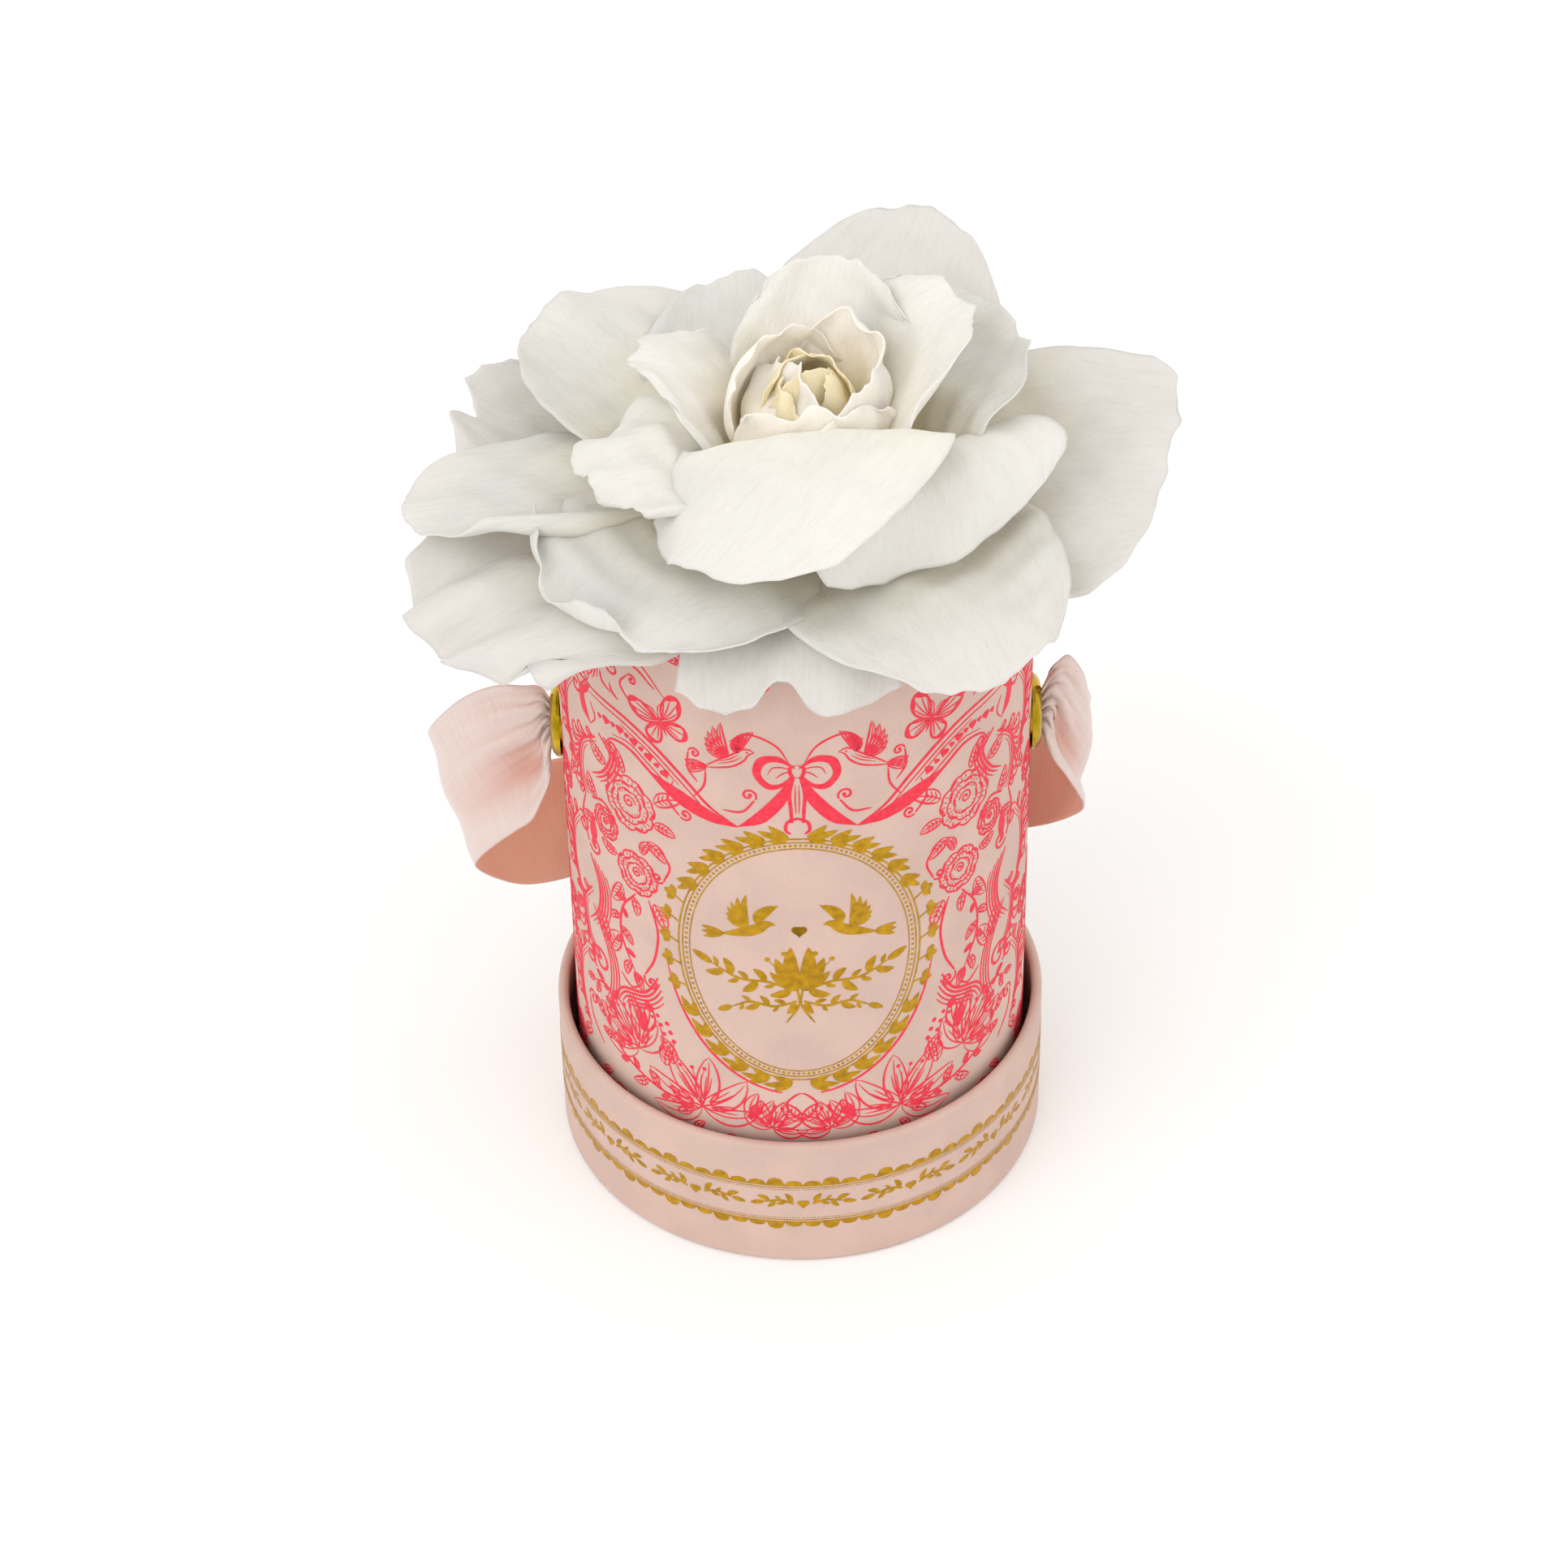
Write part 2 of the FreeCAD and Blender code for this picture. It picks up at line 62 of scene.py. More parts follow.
STEM_LOW, STEM_HIGH = node_box("flower_stem")
TUBE_R = node_box("tube_wrap")[1][0]
LID_R = node_box("lid_side_wrap")[1][0]
EYELET_Z = node_box("eyelet_right")[:, 2].mean()
FLOWER_X = (STEM_LOW[0] + STEM_HIGH[0]) / 2

# ------------------------------------------------------------------ curves


def ease(x):
    """From 0 to 1 with a soft start and end."""
    x = np.clip(x, 0, 1)
    return x * x * (3 - 2 * x)


def between(a, b, c, d, t):
    """Where a smooth curve through four points is at t, from 0 at b to 1 at c."""
    bow = a - 2.5 * b + 2 * c - d / 2
    return b + (c - a) * t / 2 + bow * t**2 + (3 * b - a - 3 * c + d) / 2 * t**3


def smooth(points, step=0.85):
    """A curve through points, evenly divided."""
    p = np.asarray(points, float)
    p = np.vstack([2 * p[0] - p[1], p, 2 * p[-1] - p[-2]])
    runs = []
    for a, b, c, d in zip(p, p[1:], p[2:], p[3:]):
        count = max(3, int(np.linalg.norm(c - b) / step))
        runs.append(between(a, b, c, d, np.linspace(0, 1, count, endpoint=False)[:, None]))
    return np.vstack(runs + [p[-2:-1]])


def flowing(values, count):
    """A curve through evenly spaced stations, each a number or a point, as so many points."""
    values = np.asarray(values, float)
    last = len(values) - 1
    place = np.linspace(0, last, count)
    i = np.minimum(place.astype(int), last - 1)
    t = (place - i).reshape((-1,) + (1,) * (values.ndim - 1))
    before, after = values[np.maximum(i - 1, 0)], values[np.minimum(i + 2, last)]
    return between(before, values[i], values[i + 1], after, t)


def through(values, x):
    """A smooth curve through evenly spaced values, taken at x from 0 to a little over 1."""
    values = np.asarray(values, float)
    last = len(values) - 1
    place = np.clip(x, 0, 1.2) * last
    i = np.clip(np.floor(place).astype(int), 0, last - 1)
    f = np.minimum(place - i, 1.5)
    slope = np.gradient(values)
    a, b, at_a, at_b = values[i], values[i + 1], slope[i], slope[i + 1]
    inside = (2 * f**3 - 3 * f**2 + 1) * a + (f**3 - 2 * f**2 + f) * at_a
    inside = inside + (3 * f**2 - 2 * f**3) * b + (f**3 - f**2) * at_b
    return np.where(f <= 1, inside, b + at_b * (f - 1))


def spread(values, x):
    """A plain number, or a list taken smoothly along x from 0 to 1."""
    return values + 0 * x if np.ndim(values) == 0 else through(values, x)


# ------------------------------------------------------------------ meshes


def add_mesh(name, verts, faces, body, material, smooth=True):
    """A new piece from points in millimetres, riding on a body."""
    mesh = bpy.data.meshes.new(name)
    mesh.from_pydata((np.asarray(verts, float) * MM).tolist(), [], [tuple(f) for f in faces])
    mesh.validate()
    mesh.polygons.foreach_set("use_smooth", [smooth] * len(mesh.polygons))
    mesh.materials.append(material)
    piece = bpy.data.objects.new(name, mesh)
    bpy.context.scene.collection.objects.link(piece)
    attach(piece, body)
    return piece


def grid_faces(rows, cols, start=0, flip=False):
    """The quads of a grid of vertices numbered row by row from start."""
    corners = [start + i * cols + j for i in range(rows - 1) for j in range(cols - 1)]
    quads = [(a, a + 1, a + cols + 1, a + cols) for a in corners]
    return [quad[::-1] for quad in quads] if flip else quads


def unit(vectors):
    """Vectors of length one along the last axis."""
    return vectors / np.maximum(np.linalg.norm(vectors, axis=-1, keepdims=True), 1e-9)


def grid_normals(points):
    """Unit normals of a grid of points, rows by columns by three."""
    return unit(np.cross(np.gradient(points, axis=1), np.gradient(points, axis=0)))


def thick_sheet(points, thickness):
    """Close a grid of points into a sheet. Thickness is one number or one for each point."""
    rows, cols, _ = points.shape
    half = grid_normals(points) * (np.asarray(thickness) / 2)[..., None]
    verts = np.concatenate([(points + half).reshape(-1, 3), (points - half).reshape(-1, 3)])
    count = rows * cols
    faces = grid_faces(rows, cols) + grid_faces(rows, cols, count, flip=True)
    rim = list(range(cols))
    rim += [i * cols + cols - 1 for i in range(1, rows)]
    rim += [(rows - 1) * cols + j for j in range(cols - 2, -1, -1)]
    rim += [i * cols for i in range(rows - 2, 0, -1)]
    for k, a in enumerate(rim):
        b = rim[(k + 1) % len(rim)]
        faces.append((b, a, a + count, b + count))
    return verts, faces


def add_sheet_uv(piece, rows, cols):
    """UV of a closed sheet: across it, then along it."""
    layer = piece.data.uv_layers.new(name="UVMap")
    count = rows * cols
    for loop in piece.data.loops:
        k = loop.vertex_index % count
        layer.data[loop.index].uv = ((k % cols) / (cols - 1), (k // cols) / (rows - 1))


# ------------------------------------------------------------------ materials


class Nodes:
    """A material's node tree, built in a few words."""

    def __init__(self, name, **values):
        self.material = bpy.data.materials.new(name)
        self.material.use_nodes = True
        self.tree = self.material.node_tree
        self.shader = self.tree.nodes["Principled BSDF"]
        for socket, value in values.items():
            self.shader.inputs[socket.replace("_", " ")].default_value = value

    def add(self, kind, inputs=None, **settings):
        node = self.tree.nodes.new(kind)
        for key, value in settings.items():
            setattr(node, key, value)
        for key, value in (inputs or {}).items():
            if isinstance(value, bpy.types.NodeSocket):
                self.tree.links.new(value, node.inputs[key])
            else:
                node.inputs[key].default_value = value
        return node

    def link(self, socket, target):
        self.tree.links.new(socket, self.shader.inputs[target])

    def coordinates(self, scale=(1, 1, 1)):
        """Coordinates of the piece itself, in metres, multiplied by a scale."""
        source = self.add("ShaderNodeTexCoord").outputs["Object"]
        return self.add("ShaderNodeMapping", {"Vector": source, "Scale": scale}).outputs[0]

    def sheet_coordinates(self, scale):
        """Coordinates across a sheet and along it, each from 0 to 1, multiplied by a scale."""
        source = self.add("ShaderNodeUVMap", uv_map="UVMap").outputs[0]
        return self.add("ShaderNodeMapping", {"Vector": source, "Scale": scale}).outputs[0]

    def noise(self, vector, scale, detail=3.0, roughness=0.5, distortion=0.0):
        node = self.add("ShaderNodeTexNoise", {"Vector": vector, "Scale": scale, "Detail": detail})
        node.inputs["Roughness"].default_value = roughness
        node.inputs["Distortion"].default_value = distortion
        return node.outputs["Fac"]

    def ramp(self, fac, stops):
        node = self.add("ShaderNodeValToRGB", {"Fac": fac})
        elements = node.color_ramp.elements
        while len(elements) < len(stops):
            elements.new(0.5)
        for element, (at, colour) in zip(elements, stops):
            element.position = at
            element.color = (*colour, 1)
        return node.outputs["Color"]

    def two_tone(self, fac, dark, light):
        """The base colour: dark where fac is low and light where it is high."""
        self.link(self.ramp(fac, [(0.3, dark), (0.7, light)]), "Base Color")

    def mix(self, fac, first, second, blend="MIX"):
        """Two colours mixed. The node's colour sockets are its inputs 6 and 7 and its output 2."""
        inputs = {0: fac}
        for socket, value in ((6, first), (7, second)):
            inputs[socket] = value if isinstance(value, bpy.types.NodeSocket) else (*value, 1)
        return self.add("ShaderNodeMix", inputs, data_type="RGBA", blend_type=blend).outputs[2]

    def math(self, operation, first, second):
        return self.add("ShaderNodeMath", {0: first, 1: second}, operation=operation).outputs[0]

    def bump(self, height, strength, distance, below=None):
        inputs = {"Height": height, "Strength": strength, "Distance": distance}
        if below is not None:
            inputs["Normal"] = below
        normal = self.add("ShaderNodeBump", inputs).outputs["Normal"]
        self.link(normal, "Normal")
        return normal

    def roughness(self, fac, low, high):
        node = self.add("ShaderNodeMapRange", {"Value": fac, "To Min": low, "To Max": high})
        self.link(node.outputs["Result"], "Roughness")


def srgb(red, green, blue):
    """Linear colour of an 8-bit display colour."""
    parts = [c / 255 for c in (red, green, blue)]
    return tuple(c / 12.92 if c <= 0.04045 else ((c + 0.055) / 1.055) ** 2.4 for c in parts)


def paper_material(name, colour, grain=0.06):
    """Uncoated wrapping paper: faint fibre mottling and a very fine tooth."""
    look = Nodes(name, Roughness=0.7, Specular_IOR_Level=0.3)
    at = look.coordinates()
    cloud = look.noise(at, 90.0, 4.0)
    fibre = look.noise(look.coordinates((1, 1, 0.35)), 2600.0, 2.0)
    dark = tuple(c * (1 - grain) for c in colour)
    light = tuple(min(1.0, c * (1 + grain * 0.5)) for c in colour)
    tone = look.ramp(cloud, [(0.35, dark), (0.65, light)])
    speck = look.ramp(fibre, [(0.3, (0.965, 0.96, 0.955)), (0.6, (1, 1, 1))])
    look.link(look.mix(1.0, tone, speck, "MULTIPLY"), "Base Color")
    look.roughness(fibre, 0.62, 0.78)
    look.bump(fibre, 0.25, 0.00005)
    return look.material


def board_material(name, colour):
    """Grey chipboard: speckled recycled fibre."""
    look = Nodes(name, Roughness=0.9)
    at = look.coordinates()
    speck = look.noise(at, 1500.0, 4.0, 0.7)
    layer = look.noise(look.coordinates((1, 1, 5)), 400.0, 2.0)
    tone = look.ramp(speck, [(0.3, tuple(c * 0.72 for c in colour)), (0.7, colour)])
    layers = look.ramp(layer, [(0.3, colour), (0.7, (0.5, 0.46, 0.4))])
    look.link(look.mix(0.35, tone, layers), "Base Color")
    look.bump(speck, 0.5, 0.00012)
    return look.material


def petal_material(name, tip, base, crease_shade):
    """A thick preserved petal: its colour runs from the base to the tip, with fine wrinkles running
    outwards and a velvet skin. Painted shade: the third colour darkens the low parts of the wrinkles, where
    their bump sinks."""
    look = Nodes(
        name,
        Roughness=0.6,
        Specular_IOR_Level=0.25,
        Subsurface_Weight=0.3,
        Subsurface_Scale=0.004,
        Sheen_Weight=0.1,
        Sheen_Roughness=0.5,
    )
    look.shader.inputs["Subsurface Radius"].default_value = (1.0, 0.9, 0.7)
    split = look.add("ShaderNodeSeparateXYZ", {"Vector": look.sheet_coordinates((1, 1, 1))})
    cloud = look.noise(look.coordinates(), 120.0, 3.0)
    reach = look.math("ADD", split.outputs["Y"], look.math("MULTIPLY", cloud, 0.25))
    halfway = tuple((a + b) / 2 for a, b in zip(base, tip))
    body = look.ramp(reach, [(0.3, base), (0.55, halfway), (0.85, tip)])
    wrinkles = look.noise(look.sheet_coordinates((16, 4.5, 1)), 2.0, 5.0, 0.6, 1.1)
    veins = look.noise(look.sheet_coordinates((60, 5, 1)), 1.6, 3.0, 0.5, 0.6)
    # painted shade: darker in the low parts of the wrinkles, where their bump sinks
    painted_crease_shade = look.ramp(wrinkles, [(0.3, crease_shade), (0.5, (1, 1, 1))])
    look.link(look.mix(0.35, body, look.mix(1.0, body, painted_crease_shade, "MULTIPLY")), "Base Color")
    skin = look.noise(look.coordinates(), 2200.0, 2.0)
    crease = look.bump(wrinkles, 0.5, 0.0006)
    ribbed = look.bump(veins, 0.22, 0.0002, crease)
    look.bump(skin, 0.15, 0.00006, ribbed)
    look.roughness(cloud, 0.52, 0.7)
    return look.material


def brass_material():
    """Polished brass, faintly clouded."""
    look = Nodes("Brass", Metallic=1.0, Roughness=0.16)
    at = look.coordinates()
    cloud = look.noise(at, 260.0, 3.0)
    look.two_tone(cloud, srgb(158, 128, 16), srgb(204, 170, 48))
    look.roughness(look.noise(at, 900.0, 2.0), 0.08, 0.2)
    look.bump(cloud, 0.12, 0.00008)
    return look.material


def foil_material():
    """Hot-stamped gold foil: metallic, a little crinkled by the paper under it."""
    look = Nodes("Gold_foil", Metallic=0.7, Roughness=0.38)
    at = look.coordinates()
    cloud = look.noise(at, 700.0, 3.0)
    look.two_tone(cloud, srgb(160, 118, 4), srgb(196, 150, 20))
    look.roughness(cloud, 0.28, 0.46)
    look.bump(look.noise(at, 2400.0, 2.0), 0.2, 0.00005)
    return look.material


def ink_material():
    """Coral offset ink: flat and matte, slightly uneven where the paper drinks it."""
    look = Nodes("Coral_ink", Roughness=0.62, Specular_IOR_Level=0.25)
    cloud = look.noise(look.coordinates(), 1100.0, 3.0)
    look.two_tone(cloud, srgb(218, 40, 62), srgb(232, 62, 80))
    look.roughness(cloud, 0.55, 0.7)
    return look.material


def ribbon_material():
    """Satin: fine weft lines across the ribbon, soft anisotropic sheen. Painted shade: a salmon colour is
    multiplied into its folds and dents, fullest where a point's shade value is half, and the inside of the
    loop, where it is 1, is painted light orange for the light bounced between its layers."""
    look = Nodes(
        "Satin_ribbon",
        Roughness=0.34,
        Specular_IOR_Level=0.55,
        Sheen_Weight=0.3,
        Sheen_Roughness=0.35,
        Anisotropic=0.5,
        Subsurface_Weight=0.05,
        Subsurface_Scale=0.001,
    )
    threads = look.noise(look.sheet_coordinates((3, 900, 1)), 1.0, 2.0)
    runs = look.noise(look.sheet_coordinates((160, 5, 1)), 1.0, 2.0)
    sheen = look.ramp(runs, [(0.3, srgb(196, 172, 164)), (0.7, srgb(222, 204, 198))])
    tone = look.ramp(threads, [(0.3, srgb(204, 184, 177)), (0.7, srgb(217, 199, 192))])
    satin = look.mix(0.25, tone, sheen)
    # painted shade: salmon in the folds and dents of the outer face, and a painted orange bounce light
    # inside the loop
    painted_shade = look.add("ShaderNodeAttribute", attribute_name="painted_shade").outputs["Fac"]
    fold_shade = look.ramp(painted_shade, [(0.0, (1, 1, 1)), (0.5, (0.92, 0.62, 0.54)), (1.0, (1, 1, 1))])
    outside = look.mix(1.0, satin, fold_shade, "MULTIPLY")
    inside = look.math("GREATER_THAN", painted_shade, 0.75)
    painted_bounce = look.ramp(threads, [(0.35, srgb(250, 208, 180)), (0.65, srgb(255, 218, 192))])
    look.link(look.mix(inside, outside, painted_bounce), "Base Color")
    fine = look.bump(threads, 0.3, 0.00008)
    look.bump(runs, 0.12, 0.00005, fine)
    look.roughness(runs, 0.28, 0.42)
    return look.material


def foam_material():
    """Dry floral foam: open green cells that crumble at the edges."""
    look = Nodes("Floral_foam", Roughness=0.95, Specular_IOR_Level=0.1)
    at = look.coordinates()
    cells = look.add("ShaderNodeTexVoronoi", {"Vector": at, "Scale": 900.0}).outputs["Distance"]
    cloud = look.noise(at, 160.0, 4.0)
    tone = look.ramp(cloud, [(0.3, srgb(58, 92, 60)), (0.7, srgb(84, 124, 82))])
    shade = look.ramp(cells, [(0.0, (0.55, 0.55, 0.55)), (0.5, (1, 1, 1))])
    look.link(look.mix(1.0, tone, shade, "MULTIPLY"), "Base Color")
    look.bump(cells, 0.7, 0.0004)
    return look.material


def plant_material(name, dark, light):
    """Green with fine streaks that run up it."""
    look = Nodes(name, Roughness=0.6, Subsurface_Weight=0.08, Subsurface_Scale=0.001)
    at = look.coordinates((1, 1, 0.25))
    streak = look.noise(at, 700.0, 4.0)
    look.two_tone(streak, dark, light)
    look.roughness(streak, 0.5, 0.7)
    look.bump(streak, 0.3, 0.0002)
    return look.material


MATERIALS = {
    "blush_paper": paper_material("Blush_paper", srgb(203, 175, 163)),
    "lining_paper": paper_material("Lining_paper", srgb(240, 232, 224), 0.04),
    "greyboard": board_material("Greyboard", srgb(176, 166, 152)),
    "brass": brass_material(),
    "foil": foil_material(),
    "ink": ink_material(),
    "satin_ribbon": ribbon_material(),
    "floral_foam": foam_material(),
    "stem": plant_material("Stem", srgb(84, 96, 44), srgb(122, 134, 66)),
    "calyx": plant_material("Calyx", srgb(70, 98, 44), srgb(112, 140, 70)),
}
# colours at the tip, at the base and of the painted shade in the wrinkles. The tiers are copies of one
# petal, painted lighter tier by tier towards the heart, painted light that makes up for the shade deep in
# the bloom.
for tier, tip, base, crease_shade in (
    ("guard", (206, 204, 199), (214, 203, 174), (0.88, 0.87, 0.85)),
    ("outer", (212, 210, 204), (221, 209, 176), (0.88, 0.87, 0.85)),
    ("middle", (226, 223, 216), (246, 239, 218), (0.9, 0.88, 0.84)),
    ("core", (254, 238, 196), (252, 200, 88), (0.94, 0.88, 0.76)),
    ("heart", (248, 243, 234), (254, 234, 182), (0.92, 0.88, 0.8)),
):
    petals = petal_material(f"{tier.capitalize()}_petals", srgb(*tip), srgb(*base), crease_shade)
    MATERIALS[f"{tier}_petals"] = petals
for entry in frame["record"]["subparts"]:
    node = NODES[entry["node"]]
    node.data.materials.clear()
    node.data.materials.append(MATERIALS[entry["material_slot"]])

# ------------------------------------------------------------------ the print, drawn flat
# In mm: s runs along the wall to the right of the front line, z is height. A motif is a list of
# strips, and a strip is a pair of edges with as many points in each. A drawing is a list of rows,
# each the function of a motif and what it takes.

# the usual width of a stroke, a fine step along a curve, and the height of the medallion's middle
PEN = 0.42
FINE = 0.5
MEDALLION_Z = 72.8


def drawn(rows):
    """The strips of a drawing."""
    return [strip for motif, *given in rows for strip in motif(*given)]


def headings(line):
    along = np.gradient(np.asarray(line, float), axis=0)
    return np.arctan2(along[:, 1], along[:, 0])


def leftward(line):
    """Unit vectors to the left of a line."""
    angle = headings(line)
    return np.stack([-np.sin(angle), np.cos(angle)], 1)


def pen(line, width=PEN, ends=(0.2, 0.2)):
    """A stroke along a dense line, full in the middle and thinner at its ends."""
    line = np.asarray(line, float)
    t = np.linspace(0, 1, len(line))
    thin = np.where(t < 0.5, ends[0], ends[1])
    half = width * 0.43 * (thin + (1 - thin) * np.sin(np.pi * t) ** 0.6)
    side = leftward(line) * half[:, None]
    return [(line + side, line - side)]


def stroke(points, width=PEN, ends=(0.2, 0.2)):
    return pen(smooth(points), width, ends)


def blob(first, second):
    """A filled shape between two curves."""
    edges = [smooth(side, FINE) for side in (first, second)]
    share = np.linspace(0, 1, max(len(side) for side in edges))
    even = []
    for side in edges:
        place = np.linspace(0, 1, len(side))
        even.append(np.stack([np.interp(share, place, side[:, k]) for k in (0, 1)], 1))
    return [tuple(even)]


def placed(strips, at=(0, 0), angle=0.0, scale=1.0, flip=False):
    """A motif flipped if need be, scaled, turned by an angle in degrees and moved."""
    c, s = math.cos(math.radians(angle)), math.sin(math.radians(angle))
    matrix = np.array([[c, s], [-s, c]]) * scale
    mirror = (1, -1 if flip else 1)
    return [tuple(side * mirror @ matrix + at for side in pair) for pair in strips]


def mirrored(strips):
    return strips + [tuple(side * (-1, 1) for side in pair) for pair in strips]


def dot(at, radius):
    angle = np.linspace(0, np.pi, 7)
    left = np.stack([-np.sin(angle), np.cos(angle)], 1) * radius
    return [(left + at, left * (-1, 1) + at)]


def heart(at, size, angle=0.0):
    t = np.linspace(0.05, np.pi, 14)
    x = 16 * np.sin(t) ** 3
    y = 13 * np.cos(t) - 5 * np.cos(2 * t) - 2 * np.cos(3 * t) - np.cos(4 * t)
    half = np.stack([x, y], 1) / 16
    return placed([(half * (-1, 1), half)], at, angle, size)


def leaf(length, width, bend=0.0, veins=3, solid=False):
    """A leaf from the origin along +x."""
    t = np.linspace(0, 1, 13)
    swell = t**0.6 * (1 - t) ** 0.75
    half = np.stack([0 * t, width / 2 * swell / swell.max()], 1)
    spine = np.stack([length * t, bend * length * 4 * t * (1 - t)], 1)
    edges = (spine + half, spine - half)
    if solid:
        return [edges]
    parts = pen(edges[0], 0.36) + pen(edges[1], 0.5) + pen(spine[:-1], 0.34, (0.8, 0.2))
    for k in range(veins):
        i = 2 + k * 7 // veins
        for edge in edges:
            parts += pen(np.linspace(spine[i], 0.25 * spine[i + 2] + 0.75 * edge[i + 2], 4), 0.28)
    return parts


def curl(start, angle, radius, turns=1.3, side=1, width=0.6):
    """A tendril that winds up to its left (side 1) or right (side -1) and ends in a dot."""
    t = np.linspace(0, 1, int(22 * turns) + 6)
    shrink = radius * (1 - 0.82 * t)
    heading = math.radians(angle) + side * 2 * np.pi * turns * t
    step = 2 * np.pi * turns * shrink[:, None] * np.stack([np.cos(heading), np.sin(heading)], 1)
    line = np.asarray(start, float) + np.cumsum(step, axis=0) / len(t)
    return pen(line, width, (0.7, 0.4)) + dot(line[-1], width * 0.75)


def vine(points, radius=2.0, turns=1.1, side=1, width=0.6):
    """A curved stem that runs on into a tendril."""
    line = smooth(points)
    angle = math.degrees(headings(line)[-1])
    return pen(line, width, (0.3, 0.7)) + curl(line[-1], angle, radius, turns, side, width)


def foliage(points, size, gap, spring=48, solid=False):
    """A stem with leaves springing forwards from its left and right by turns."""
    line = smooth(points, FINE)
    angle = np.degrees(headings(line))
    parts = pen(line, 0.6, (0.6, 0.2))
    every = max(2, int(gap / FINE))
    for k, i in enumerate(range(every // 2, len(line) - 2, every)):
        side = -1 if k % 2 else 1
        grown = size * (0.75 + 0.25 * math.cos(1.7 * k))
        shape = leaf(grown, grown * 0.42, 0.1, 2, solid)
        parts += placed(shape, line[i], angle[i] + side * spring, flip=side < 0)
    return parts + placed(leaf(size, size * 0.4, 0, 2, solid), line[-1], angle[-1])


LOBE = np.array([(0, 0), (0.5, 0.1), (0.98, 0.4), (1.02, 0.82), (0.7, 1), (0.48, 0.8), (0.6, 0.6)])
LOBE_FOLD = np.array([(0, 0), (0.3, 0.25), (0.42, 0.55), (0.48, 0.8)])
LOBE_SHADE = np.array([(0, 0), (0.5, 0.22), (0.98, 0.4)])


def plume(points, size, count, side):
    """Acanthus: lobes that leave a spine one after another, curl over and are shaded at the fold."""
    line = smooth(points, FINE)
    angle = np.degrees(headings(line))
    inward = -side * leftward(line)
    parts = pen(line, 0.9, (0.5, 0.2)) + pen(line + inward * 0.8, 0.34)
    parts += pen((line + inward * 1.5)[8:], 0.28)
    for k in range(count):
        i = int((k + 0.4) / count * (len(line) - 2))
        grown = size * math.sin(math.pi * (k + 1.6) / (count + 2.4))
        lobe = stroke(LOBE * grown, 0.5, (0.8, 0.4)) + stroke(LOBE_FOLD * grown, 0.34, (0.9, 0.3))
        lobe += blob(LOBE[:3] * grown, LOBE_SHADE * grown)
        for reach in (0.45, 0.7):
            ray = [(0.12, 0.1), (0.5 * reach + 0.1, 0.5 * reach), (0.55 + 0.2 * reach, reach)]
            lobe += stroke(np.array(ray) * grown, 0.26)
        parts += placed(lobe, line[i], angle[i], flip=side < 0)
    return parts


def rose(radius, turn):
    """An open rose: rings of lobed petals round a wound heart."""
    parts = []
    for share, petals, offset in ((1, 6, 0), (0.74, 5, 0.5), (0.5, 4, 0.2)):
        for i in range(petals):
            middle = 2 * math.pi * (i + offset) / petals + turn
            span = math.pi / petals * 1.12
            angle = np.linspace(middle - span, middle + span, 13)
            lift = np.maximum(np.cos((angle - middle) / span * math.pi / 2), 0)
            dimple = 0.06 * np.exp(-(((angle - middle) / 0.1) ** 2))
            r = radius * share * (0.8 + 0.2 * lift**0.5 - dimple)
            petal = np.stack([r * np.cos(angle), r * np.sin(angle)], 1)
            parts += pen(petal, 0.46 * share**0.4, (0.5, 0.5))
            for k in (4, 6, 8):
                parts += pen(np.linspace(petal[k] * 0.78, petal[k] * 0.93, 3), 0.24)
            parts += pen(petal[1:5] * 0.93, 0.55, (0.1, 0.1))
    return parts + curl((radius * 0.26, 0), 90, radius * 0.26, 1.5, 1, 0.4)


def lily(length, petals, fan):
    """A lily seen from the side, opening along +x, with a shaded throat and stamens."""
    parts = []
    for share in np.linspace(-0.5, 0.5, petals):
        reach = length * (1 - 0.5 * share**2)
        petal = leaf(reach, reach * 0.36, 0.32 * share, 0)
        for k in (-1, 0, 1):
            ray = [(0.16 * reach, 0.03 * k)]
            ray += [(0.34 * reach, 0.06 * k * reach), (0.62 * reach, 0.08 * k * reach)]
            petal += stroke(ray, 0.34, (1, 0.1))
        parts += placed(petal, angle=share * fan)
    for k in (-0.2, 0, 0.2):
        tip = (0.72 * length, k * length)
        parts += stroke([(0, 0), (0.4 * length, 0.3 * k * length), tip], 0.26) + dot(tip, 0.42)
    return parts


def bud(length):
    """A closed tulip-like bud along +x, shaded at its foot."""
    parts = leaf(0.8 * length, 0.26 * length, 0, 0)
    for lean in (14, -14):
        parts += placed(leaf(length, 0.34 * length, lean / 140, 0), angle=lean)
    for k in (-2, -1, 0, 1, 2):
        ray = [(0, 0.02 * k), (0.25 * length, 0.06 * k * length), (0.5 * length, 0.075 * k * length)]
        parts += stroke(ray, 0.5, (1, 0.1))
    return parts


